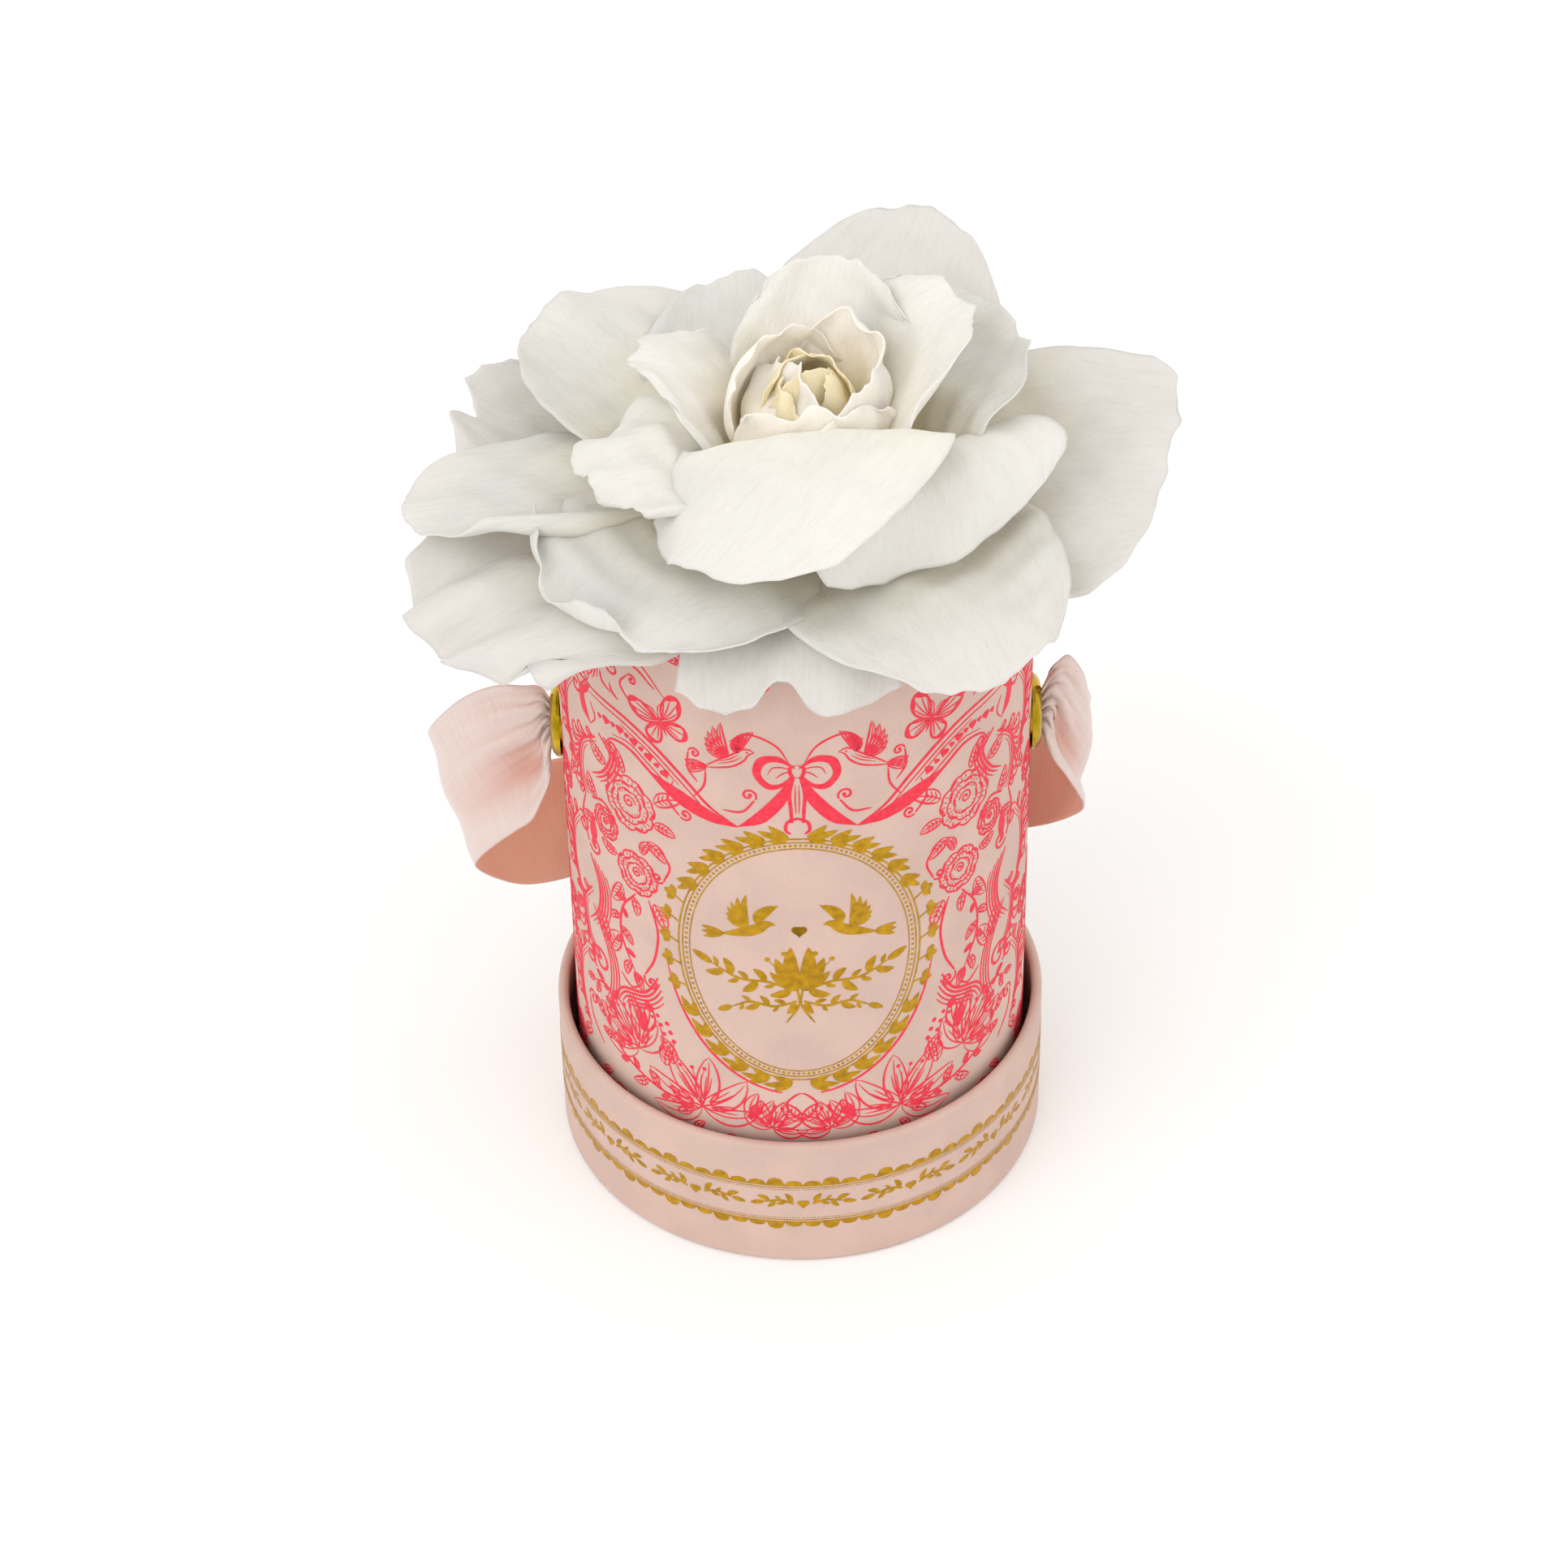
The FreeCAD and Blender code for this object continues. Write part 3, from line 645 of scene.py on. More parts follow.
def butterfly():
    """Wings spread, body along +z, about 11 mm across."""
    upper = [(0.3, 0.4), (1.6, 3.2), (4, 4.9), (5.4, 4.2), (5, 2), (3.2, 0.4), (0.3, 0.1)]
    lower = [(0.3, 0.1), (2.4, -0.2), (4, -1.4), (3.7, -3.4), (2, -3.6), (0.9, -2.2), (0.3, -0.4)]
    wing = [
        (stroke, upper, 0.6, (0.5, 0.5)),
        (stroke, lower, 0.6, (0.5, 0.5)),
        (blob, [(2.8, 4.3), (4.4, 4.9), (5.5, 4)], [(2.8, 4.3), (4.2, 4), (5.5, 4)]),
        (blob, [(5.4, 4), (5.2, 2.4), (4.2, 1)], [(5.4, 4), (4.5, 2.6), (4.2, 1)]),
        (blob, [(4, -1.6), (4.1, -3.2), (2.4, -3.7)], [(4, -1.6), (3.2, -2.9), (2.4, -3.7)]),
        (stroke, [(0.1, 1.4), (0.7, 2.9), (1.6, 3.6)], 0.25),
    ]
    for x, y in ((2.6, 4), (4, 4.2), (4.9, 3.2), (4.3, 1.6)):
        wing.append((stroke, [(0.4, 0.5), (0.55 * x, 0.5 * y), (x, y)], 0.3))
    for x, y in ((3.5, -1.1), (3.4, -2.6), (2.2, -3.1)):
        wing.append((stroke, [(0.4, -0.1), (0.5 * x, 0.4 * y), (x, y)], 0.3))
    body = blob([(0, 1.6), (-0.4, 0), (0, -2.6)], [(0, 1.6), (0.4, 0), (0, -2.6)])
    return mirrored(drawn(wing)) + body


def bird(solid=False):
    """A small bird flying to the right with its wings up, about 15 mm long."""
    back = [(6.8, 1.3), (5.7, 2.3), (4.2, 2.3), (2, 1.3), (-1, 0.2), (-5, -1.6)]
    breast = [(6.8, 1.3), (5.4, 0.9), (4, -0.5), (1.4, -1.6), (-2, -1.8), (-5, -1.6)]
    outline = [
        (stroke, breast, 0.5),
        (stroke, back, 0.5),
        (dot, (5.3, 1.6), 0.22),
        (stroke, [(4, 0.6), (1.6, -0.4), (-1.6, -0.8)], 0.3),
        (stroke, [(3.4, 1.1), (1.4, 0.3), (-1, -0.2)], 0.3),
    ]
    parts = blob(back, breast) if solid else drawn(outline)
    for shoulder, first, last, longest in (((1.2, 0.9), 86, 156, 8.4), ((3.2, 1.6), 46, 82, 6.8)):
        for share in np.linspace(0, 1, 6):
            feather = leaf(longest * (1 - 0.45 * share), 1.45, 0.08, 0 if solid else 1, solid)
            parts += placed(feather, shoulder, first + (last - first) * share)
    for angle in (164, 181, 198):
        parts += placed(leaf(4.8, 1.3, 0, 0, solid), (-4.2, -1.5), angle)
    return parts


def garland():
    """Half a swag of ribbon that rises outwards from the bow, with hearts along it."""
    upper = [(-10.5, 103.6), (-15.5, 107), (-20.5, 112.2), (-26.5, 117), (-33, 119.8), (-42, 120.8)]
    lower = [(-10.5, 103.6), (-16, 104), (-22, 106.4), (-27.5, 110.6), (-32, 113.2), (-36.4, 112.8),
             (-38.4, 110.4)]
    ribbon = [
        (stroke, upper, 0.75, (0.3, 0.4)),
        (stroke, lower, 0.75, (0.3, 0.3)),
        (stroke, np.add(upper[1:], (-0.4, -1.3)), 0.4),
        (stroke, np.add(upper[2:-1], (-0.7, -2.2)), 0.3),
        (stroke, np.add(lower[2:-1], (0.3, 1.2)), 0.34),
        (blob, lower[:4], [(-10.5, 103.6), (-15.5, 106.2), (-21, 108.9), (-27.5, 110.6)]),
        (curl, lower[-1], -60, 1.9, 1.1, 1, 0.6),
        (blob, [(-42, 120.8), (-46, 118.6), (-45.6, 114.2), (-42.6, 112.2)],
         [(-42, 120.8), (-44.4, 117.6), (-43.6, 114.4), (-42.6, 112.2)]),
        (stroke, [(-42.6, 112.2), (-41, 114.6), (-42.4, 117.4)], 0.4),
    ]
    middle = smooth([(-24, 111.4), (-29, 114.6), (-34, 116.2), (-39.5, 116)], 3.2)
    hearts = [(heart, at, 0.62 if k % 2 else 1, 30 - 5 * k) for k, at in enumerate(middle)]
    return drawn(ribbon + hearts)


def drapery(points, count, gap):
    """Folds of cloth: strokes side by side that shorten to one side."""
    line = smooth(points, FINE)
    side = leftward(line)
    parts = []
    for k in range(count):
        trim = 1 + 2 * k
        parts += pen((line + side * gap * k)[trim:-trim], 0.75 - 0.09 * k, (0.5, 0.1))
    return parts


def oval(wide, high, turn, middle=MEDALLION_Z):
    """Points on the left of an oval round the medallion. Turn is 0 at its top, 180 at its foot."""
    angle = np.radians(turn)
    return np.stack([-wide * np.sin(angle), middle + high * np.cos(angle)], -1)


# Half a ribbon bow, its knot at the origin: the half on the left.
BOW = [
    (blob, [(-0.4, 0.9), (-3.2, 3.2), (-6.6, 2.6), (-7.6, -0.8), (-5.4, -4), (-2.6, -3.6), (-0.6, -0.9)],
     [(-0.4, 0.5), (-2.8, 1.9), (-5.2, 1.6), (-6.2, -0.8), (-4.8, -2.9), (-2.8, -2.8), (-0.6, -0.6)]),
    (stroke, [(-0.8, 0.1), (-2.4, 0.8), (-4.2, 0.6), (-5, -0.9)], 0.3),
    (stroke, [(-0.8, -0.2), (-2.2, -0.4), (-3.6, -1.6)], 0.3),
    (blob, [(-0.7, -1), (-1.4, -6), (-5.6, -11.6), (-10.5, -13.4)],
     [(-0.7, -1), (-3.8, -5.6), (-7.2, -9.8), (-10.5, -13.4)]),
    (blob, [(0, 1.4), (-1.5, 0.8), (-1.2, -1.2), (0, -1.5)],
     [(0, 1.4), (-0.9, 0.6), (-0.7, -1), (0, -1.5)]),
    (stroke, [(-0.5, -1.2), (-1.3, -5), (-1.1, -9), (-1, -11.6)], 0.75, (0.5, 0.8)),
    (stroke, [(-0.3, -3), (-0.35, -7), (-0.25, -9.6)], 0.3),
    (stroke, [(0, -10.6), (-1.7, -11.4), (-2.1, -13.2), (-1.2, -14.2)], 0.7, (0.8, 0.3)),
]
# The left half of one coral panel.
CORAL_PANEL = [
    (placed, drawn(BOW), (0, 117)),
    (garland,),
    (placed, butterfly(), (-24.4, 122.6), 24, 1.05),
    (placed, bird(), (-12.6, 118.2), 14, 0.86),
    (stroke, [(-1.4, 119), (-3.6, 122.6), (-8, 124.6), (-11.6, 122.6)], 0.45),
    (vine, [(-17.6, 112), (-19.4, 114.6), (-19.2, 118.2)], 1.2, 1.2, -1, 0.45),
    (vine, [(-13, 107), (-9.6, 107.2), (-7.4, 110)], 1.5, 1.2, 1, 0.5),
    (stroke, [(-18.6, 108.2), (-16.4, 111.6), (-16, 115.4)], 0.5),
    # over the swag
    (vine, [(-25.5, 129.4), (-30, 132.4), (-35.4, 131.2)], 2, 1.2, 1, 0.55),
    (stroke, [(-23.6, 128.4), (-29, 133.8), (-36, 133.4)], 0.35),
    (placed, leaf(7.2, 4.2, 0.06), (-43, 121.6), 128),
    (placed, leaf(5.6, 2.8, -0.06), (-46, 121.8), 158),
    (foliage, [(-42, 121), (-49, 121.8), (-55.5, 125.4), (-59, 131)], 4.4, 2.6),
    (stroke, [(-36, 123.4), (-38.2, 124.6), (-38.8, 126.6)], 0.6),
    (stroke, [(-34, 122.8), (-35.6, 123.8), (-36.2, 125.4)], 0.6),
    (vine, [(-30.6, 123.4), (-33.4, 126.8), (-31.6, 129.6)], 1.2, 1.2, -1, 0.5),
    (foliage, [(-37, 134), (-44, 134.6), (-50, 133)], 3.6, 2.4),
    (foliage, [(-4, 137.4), (-12, 135), (-20, 137)], 3.6, 2.4),
    (drapery, [(-47.8, 131.6), (-43.2, 129.2), (-42, 125.2), (-45, 122.6)], 4, 0.8),
    # roses and foliage beside the medallion
    (placed, rose(6.2, 0.3), (-32.6, 100.4)),
    (placed, rose(4.9, 0.9), (-31.4, 84.6)),
    (placed, rose(3.6, 0.2), (-39.4, 91.6)),
    (plume, [(-41.4, 110), (-46.4, 106), (-48, 99.6), (-46, 94)], 4.2, 8, -1),
    (plume, [(-45.6, 72), (-49.4, 66.4), (-48.6, 59.6), (-45, 55.4)], 3.8, 6, -1),
    (vine, [(-43.6, 94.6), (-40, 96.2), (-37.4, 95)], 1.4, 1.1, -1),
    (vine, [(-46, 94), (-47.6, 88), (-45.6, 83)], 2.2, 1.3, 1, 0.65),
    (vine, [(-28.8, 79.6), (-27, 73), (-28, 66), (-30.4, 61)], 1.9, 1.2, 1),
    (vine, [(-26.2, 93.6), (-23.8, 90), (-25.2, 86)], 1.3, 1.2, -1, 0.5),
    (vine, [(-22.4, 110.4), (-23.6, 106), (-21.4, 103)], 1.4, 1.2, 1, 0.5),
    (vine, [(-37, 57.6), (-34, 55.6), (-31.6, 57.6)], 1.4, 1.2, 1, 0.55),
    (blob, [(-43.6, 91), (-44.9, 86.6), (-43.6, 83)], [(-43.6, 91), (-42.5, 86.6), (-43.6, 83)]),
    (blob, [(-28.6, 53.4), (-30.6, 54.6), (-31, 52.4)], [(-28.6, 53.4), (-29.4, 52), (-31, 52.4)]),
    (foliage, [(-32, 79.4), (-35.6, 74), (-36.2, 67), (-33, 60)], 4.4, 2.8),
    (foliage, [(-38.4, 45.6), (-41.6, 50.2), (-46.4, 48.6)], 3.6, 2.4),
    (placed, leaf(6.4, 3.4, 0.05), (-40.6, 62.4), 104),
    (placed, leaf(6.4, 3.6, 0.05), (-39.6, 61.4), 62),
    (curl, (-42.4, 46), -104, 2, 1.2, 1, 0.6),
    (curl, (-44.6, 52), 150, 3.6, 1.4, -1, 0.75),
    (curl, (-45.2, 53.6), 160, 2.6, 1, -1, 0.4),
    (drapery, [(-45.6, 80.6), (-42.6, 74.6), (-43.4, 68), (-47.6, 62.6)], 5, 0.85),
    (drapery, [(-27.2, 62), (-30.6, 56.4), (-36.8, 53.6), (-39.8, 48.2)], 5, 0.9),
    (drapery, [(-40.6, 112), (-37, 108.6), (-39.4, 103.4), (-43.6, 100.4)], 4, 0.8),
    (pen, oval(25.6, 33.2, np.linspace(101, 172, 40), 73.4), 0.6, (0.2, 0.6)),
    # bouquet at the foot
    (placed, lily(13, 6, 190), (-18.8, 33.6), 102),
    (placed, lily(12.4, 5, 130), (-33, 41), 128),
    (placed, lily(7.4, 5, 150), (-5.4, 31.4), 70),
    (placed, bud(8.4), (-31.4, 46.2), 96),
    (placed, bud(6.6), (-9.6, 33.4), 62),
    (placed, leaf(7, 2.8, 0.1), (-26.6, 40.4), 74),
    (placed, leaf(6.4, 2.6, -0.1), (-24.6, 41.6), 116),
    (placed, leaf(5.6, 2.6), (-0.2, 33.4), 128),
    (foliage, [(-20, 33), (-29, 33.8), (-37.6, 37), (-43, 41.6)], 4.6, 2.8),
    (vine, [(-44, 34), (-48.4, 38), (-49.4, 42)], 1.9, 1.2, -1),
    (stroke, [(-1.2, 34), (-2.8, 37.6), (-1, 40), (0, 40.4)], 0.5),
    # the part that stands in the lid
    (foliage, [(-2, 26), (-14, 16), (-28, 15), (-44, 16)], 4.6, 3),
    (foliage, [(-46, 27), (-32, 24.6), (-16, 27), (-2, 20)], 4, 3),
    (foliage, [(-2, 4), (-22, 6), (-44, 5)], 4.4, 3.2),
]
# place, heading and length of the leaves round the roses
ROSE_LEAVES = [
    ((-26.6, 103.4), 28, 6.4), ((-27, 98.4), -12, 4.8), ((-33.6, 106.6), 108, 5), ((-28.6, 93.6), -38, 5.2),
    ((-35.6, 79.6), -120, 6), ((-36.4, 86.2), 168, 4.6), ((-27.6, 79.4), -66, 5.8), ((-30, 90), 62, 4),
    ((-42.2, 95.2), 118, 5.4), ((-43, 90), 196, 5), ((-38.4, 105.6), 150, 5.6),
]
LID_ROSES = [(-7, 22), (-23, 20), (-39, 23), (-14, 8), (-31, 9)]
COLUMN_FEET = (2, 34, 66, 98)
# one length of the side column, with its foot at height 0
COLUMN = [
    (plume, [(-49.8, 0), (-54, 7), (-53.8, 15), (-49.8, 21)], 4.2, 7, 1),
    (plume, [(-66.2, 4), (-62.6, 11), (-63, 18), (-66.4, 23)], 3.9, 6, -1),
    (curl, (-49.8, 21), 50, 2.4, 1.3, -1, 0.65),
    (placed, rose(3.9, 0.5), (-56.6, 25.6)),
    (placed, bud(6), (-62.8, 24.6), 92),
    (placed, leaf(4.8, 2.3, 0.08, 2), (-52.8, 28.2), 40),
    (placed, leaf(4.8, 2.3, 0.08, 2), (-59.6, 28.6), 128),
    (placed, leaf(4.6, 2, 0.08, 2), (-56.6, 21.4), -92),
    (vine, [(-59.4, 1), (-57.4, 5), (-58.4, 9)], 1.4, 1.1, 1, 0.5),
]


def coral_half():
    """All coral strips of the left half of the front."""
    parts = drawn(CORAL_PANEL)
    for at, angle, length in ROSE_LEAVES:
        parts += placed(leaf(length, length * 0.46, 0.08), at, angle)
    for s, z in LID_ROSES:
        parts += placed(rose(4.6, 0.1 * s), (s, z))
    for foot in COLUMN_FEET:
        parts += placed(drawn(COLUMN), (0, foot))
    for k in range(4):
        fold = np.array([(-45.4, 68), (-40.8, 60), (-40.2, 52.6), (-42.4, 46)])
        parts += stroke(fold + (0.8 * k, 0), PEN)
    for row in range(3):
        for k in range(3):
            parts += dot((-24.4 - 2.1 * k - 0.7 * row, 47.4 + 1.9 * row + 0.9 * k), 0.5 - 0.06 * k)
    return parts


def laurel(turn, side, size):
    """Three leaves of the wreath at a turn round it, pointing down it (side 1) or up it (side -1)."""
    at = oval(23, 29.4, turn)
    angle = math.radians(turn)
    flow = math.degrees(math.atan2(-29.4 * math.sin(angle), -23 * math.cos(angle)))
    parts = []
    for lean, length in ((40, 0.8), (16, 1.05), (-14, 0.7)):
        heading = flow - side * lean + (0 if side > 0 else 180)
        parts += placed(leaf(size * length, 1.45, 0.08, 0, True), at, heading)
    return parts


def gold_half():
    """The left half of the foil medallion: lines, beads, a laurel wreath and an emblem."""
    parts = []
    for wide, high, width in ((22.5, 28.9, 0.36), (21.7, 28.1, 0.3), (20.3, 26.7, 0.26)):
        parts += pen(oval(wide, high, np.linspace(0, 180, 90)), width, (1, 1))
    for k in range(72):
        parts += dot(oval(21, 27.4, 1.25 + 2.5 * k), 0.27)
    for k in range(6):
        size = 5.2 - 0.12 * k
        parts += laurel(4 + 10.4 * k, 1, size) + laurel(176 - 10.4 * k, -1, size)
    for turn in (70, 80, 90, 100, 110):
        angle = math.radians(turn)
        out = np.array([-math.sin(angle), 0.8 * math.cos(angle)])
        at = oval(22.6, 29, turn)
        parts += stroke([at, at + out * 1.3 + (0, 0.5), at + out * 2.6 + (0, 1)], 0.4, (1, 0.6))
        heading = math.degrees(math.atan2(out[1], out[0]))
        for lean in (-62, 0, 62):
            parts += placed(leaf(2.1, 1.5, 0, 0, True), at + out * 2 + (0, 0.8), heading + lean)
    # emblem
    for angle, length in ((97, 10.4), (118, 8.6), (140, 6.6)):
        parts += placed(leaf(length, length * 0.27, 0.06, 0, True), (-0.3, 66), angle)
    for angle in (107, 129):
        parts += placed(stroke([(0, 0), (8.4, 0)], 0.3) + dot((8.8, 0), 0.5), (-0.2, 66.4), angle)
    emblem = [
        (placed, bird(True), (-10, 79.8), 6, 0.88),
        (heart, (0, 80.2), 1.4),
        (foliage, [(-1, 66), (-5.6, 67.8), (-11, 68), (-16, 70.4)], 4.2, 1.9, 46, True),
        (foliage, [(-0.6, 63.4), (-4.6, 62), (-9, 62.6), (-12.4, 60.8)], 3.2, 1.8, 46, True),
        (stroke, [(0.5, 66.2), (-0.4, 62), (-2.6, 58)], 0.55, (0.8, 0.3)),
    ]
    return parts + drawn(emblem)


# the lid band: the height of its middle, how many hearts and scallops it has, and its beads' pitch
BAND_Z = 15.4
BAND_HEARTS = 14
SCALLOPS = 84
BEAD_GAP = 0.55


def lid_band(around):
    """A foil band round the lid: hearts and sprigs between two beaded, scalloped borders."""
    parts = []
    reach = around / SCALLOPS / 2
    line = np.linspace(0, around, 181)
    for low, high, way in ((20.2, 19.6, 1), (10.6, 11.2, -1)):
        for z, width in ((low, 0.42), (high, 0.2)):
            parts += pen(np.stack([line, 0 * line + z], 1), width, (1, 1))
        for k in range(SCALLOPS):
            s = (2 * k + 1) * reach
            tall = way * (1.9 if k % 3 == 1 else 1.2)
            for side in (-1, 1):
                foot = (s + side * reach, low)
                shoulder = s + side * reach * 2 / 3
                crest = [foot, (shoulder, low + 0.75 * tall), (s, low + tall)]
                parts += blob(crest[::-side], [foot, (shoulder, low), (s, low)][::-side])
    for k in range(int(around / BEAD_GAP)):
        for z in (19.1, 11.7):
            parts += dot((k * BEAD_GAP, z), 0.13)
    sprig = foliage([(0, 0), (2.6, 0.9), (5.6, 0.3)], 2.7, 1.25, 42, True)
    for k in range(BAND_HEARTS):
        s = k * around / BAND_HEARTS
        parts += heart((s, BAND_Z), 1.15)
        for side, angle in ((1, 0), (-1, 180)):
            parts += placed(sprig, (s + side * 1.7, BAND_Z), angle, flip=side < 0)
            parts += dot((s + side * 9, BAND_Z), 0.36)
    return parts


# In mm: how far the ink stands over the paper and how far it reaches into it, how far a strip may
# stray from its drawn shape, its longest step, its least width, and how far an eyelet covers it.
INK_PROUD = 0.06
INK_SUNK = 0.03
INK_ERROR = 0.03
INK_REACH = 4.0
THINNEST = 0.02
EYELET_COVER = 5.6


def wrap_print(name, strips, radius, body, material):
    """Wrap flat strips on a round wall as one thin closed mesh that stands a little proud of it."""
    verts = []
    faces = []
    start = 0
    for first, second in strips:
        width = first - second
        span = np.linalg.norm(width, axis=1)
        wide = np.flatnonzero(span > THINNEST)
        nearest = wide[np.abs(wide[None, :] - np.arange(len(span))[:, None]).argmin(1)]
        middle = (first + second) / 2
        half = width[nearest] / span[nearest, None] * np.maximum(span, THINNEST)[:, None] / 2
        edges = [middle + half, middle - half]
        run = np.gradient(middle, axis=0)
        if np.sum(run[:, 0] * half[:, 1] - run[:, 1] * half[:, 0]) < 0:
            edges.reverse()
        count = len(middle)
        for wall in (radius + INK_PROUD, radius - INK_SUNK):
            for edge in edges:
                angle = edge[:, 0] / radius
                verts.append(np.stack([wall * np.sin(angle), -wall * np.cos(angle), edge[:, 1]], 1))
        left, right, left_in, right_in = (start + k * count + np.arange(count) for k in range(4))
        for a, b in ((right, left), (left, left_in), (left_in, right_in), (right_in, right)):
            faces += np.stack([a[:-1], a[1:], b[1:], b[:-1]], 1).tolist()
        faces.append([left[0], left_in[0], right_in[0], right[0]])
        faces.append([right[-1], right_in[-1], left_in[-1], left[-1]])
        start += 4 * count
    return add_mesh(name, np.vstack(verts), faces, body, material, smooth=False)


def clear_of_eyelets(strips, half_turn):
    """The strips without the stretches that an eyelet's hole or flange covers."""
    kept = []
    for strip in strips:
        free = True
        for edge in strip:
            across = edge[:, 0] % half_turn - half_turn / 2
            free = free & (np.hypot(across, edge[:, 1] - EYELET_Z) > EYELET_COVER)
        cuts = np.flatnonzero(np.diff(free)) + 1
        for run in np.split(np.arange(len(free)), cuts):
            first, second = (edge[run] for edge in strip)
            wide = np.linalg.norm(first - second, axis=1).max() > THINNEST
            if free[run[0]] and len(run) > 1 and wide:
                kept.append((first, second))
    return kept


def needed(rows, low, high):
    """The rows between low and high that the shape of a strip and the round wall need."""
    if high - low < 2:
        return []
    chord = rows[high] - rows[low]
    inner = rows[low + 1 : high] - rows[low]
    share = np.clip(inner @ chord / (chord @ chord + 1e-9), 0, 1)
    error = np.linalg.norm(inner - share[:, None] * chord, axis=1)
    if error.max() < INK_ERROR and np.linalg.norm(chord) < INK_REACH:
        return []
    turn = low + 1 + int(error.argmax()) if error.max() >= INK_ERROR else (low + high) // 2
    return needed(rows, low, turn) + [turn] + needed(rows, turn, high)


def thinned(strips):
    """The strips with only the rows that they need."""
    kept = []
    for strip in strips:
        rows = np.hstack(strip)
        last = len(rows) - 1
        rows = rows[[0] + needed(rows, 0, last) + [last]]
        kept.append((rows[:, :2], rows[:, 2:]))
    return kept


def build_print():
    half_turn = math.pi * TUBE_R
    for name, half, slot, material in (
        ("coral_print", coral_half(), "blush_paper", MATERIALS["ink"]),
        ("gold_medallion", gold_half(), "brass", MATERIALS["foil"]),
    ):
        left = thinned(clear_of_eyelets(half, half_turn))
        front = [left, mirrored(left)[len(left) :]]
        back = [[(a + (half_turn, 0), b + (half_turn, 0)) for a, b in side] for side in front]
        for k, quarter in enumerate(front + back, start=1):
            wrap_print(f"{name}_{k}", quarter, TUBE_R, "box", material)
    band = thinned(lid_band(2 * math.pi * LID_R))
    wrap_print("gold_lid_band", band, LID_R, "lid", MATERIALS["foil"])


build_print()

# ------------------------------------------------------------------ the bloom

PETAL_ROWS = 57
PETAL_COLS = 45
# thickness in the middle and at the edge, in mm
PETAL_SHEET = 0.7
PETAL_EDGE = 0.25
# as a share of half a petal's width
NOTCH_WIDTH = 0.22
FIRST_SEED = 41
PLAIN_PETAL = {
    "cup": 0,
    "roll": (0, 0),
    "roll_from": 0.55,
    "tip": 0,
    "tip_from": 0.72,
    "twist": 0,
    "bend": 0,
    "claw": 0.35,
    "widest": 0.6,
    "shoulder": 0.8,
    "round": 0.22,
    "round_power": 2.4,
    "skew": 0,
    "notch": 0,
    "notch_at": 0,
    "ruffle": 0,
    "waves": 3,
    "phase": 0,
}


def petal_points(heading, base_r, base_z, length, rise, width, **extra):
    """The middle surface of a petal, in mm. It grows from (base_r, base_z) at its heading, in
    degrees from the front towards the right. Rise is its angle over the horizontal from base to
    tip. Cup is the angle of its side edges, roll and tip how far the edges curl over."""
    look = {**PLAIN_PETAL, **extra}
    along = np.linspace(0, 1, PETAL_ROWS)[:, None]
    across = np.linspace(-1, 1, PETAL_COLS)[None, :]
    t = along + 0 * across
    u = across + 0 * along

    opening = np.sin(np.pi / 2 * np.clip(t / look["widest"], 0, 1)) ** 1.15
    swell = look["claw"] + (1 - look["claw"]) * opening
    narrow = 1 - (1 - look["shoulder"]) * np.clip((t - look["widest"]) / (1 - look["widest"]), 0, 1) ** 2
    half = width * swell * narrow
    reach = 1 - look["round"] * np.abs(u) ** look["round_power"] + look["skew"] * u
    reach = reach - look["notch"] * np.exp(-(((u - look["notch_at"]) / NOTCH_WIDTH) ** 2))
    s = t * reach

    curl = spread(look["tip"], (u + 1) / 2) * ease((t - look["tip_from"]) / (1 - look["tip_from"]))
    slope = np.radians(through(rise, s) - curl)
    turn = np.radians(heading + look["bend"] * s)
    step = length * reach / (PETAL_ROWS - 1)

    def summed(values):
        total = np.zeros_like(values)
        total[1:] = np.cumsum((values[1:] + values[:-1]) / 2 * step[1:], axis=0)
        return total

    ways = (np.cos(slope) * np.sin(turn), -np.cos(slope) * np.cos(turn), np.sin(slope))
    spine = np.stack([summed(way) for way in ways], -1)

    edge = ease((np.abs(u) - look["roll_from"]) / (1 - look["roll_from"])) * ease(t * 2)
    left, right = look["roll"]
    lean = np.radians(spread(look["cup"], t)) * u
    lean = lean + np.where(u < 0, np.radians(left), -np.radians(right)) * edge
    middle = PETAL_COLS // 2
    out = np.zeros_like(t)
    lift = np.zeros_like(t)
    stride = half / middle
    for way, columns in ((1, range(middle + 1, PETAL_COLS)), (-1, range(middle - 1, -1, -1))):
        for j in columns:
            out[:, j] = out[:, j - way] + way * np.cos(lean[:, j]) * stride[:, j]
            lift[:, j] = lift[:, j - way] + way * np.sin(lean[:, j]) * stride[:, j]

    wave = look["ruffle"] * np.maximum(t**3, np.abs(u) ** 3 * ease(t * 2))
    lift = lift + wave * np.sin(look["waves"] * np.pi * u + look["phase"] + 2.5 * t)
    twist = np.radians(spread(look["twist"], t))[..., None]
    side = np.stack([np.cos(turn), np.sin(turn), 0 * turn], -1)
    normal = np.stack([-np.sin(slope) * np.sin(turn), np.sin(slope) * np.cos(turn), np.cos(slope)], -1)
    across_way = np.cos(twist) * side - np.sin(twist) * normal
    lift_way = np.sin(twist) * side + np.cos(twist) * normal
    angle = math.radians(heading)
    base = np.array([FLOWER_X + base_r * math.sin(angle), -base_r * math.cos(angle), base_z])
    return base + spine + out[..., None] * across_way + lift[..., None] * lift_way


def waves(rng, count, low, high, *fields):
    """A sum of seeded sine waves over one or more fields, about -1 to 1."""
    total = 0
    for _ in range(count):
        phase = rng.uniform(0, 2 * math.pi)
        for field in fields:
            phase = phase + field * rng.uniform(low, high) * rng.choice((-1, 1))
        total = total + np.sin(phase)
    return total / math.sqrt(count)


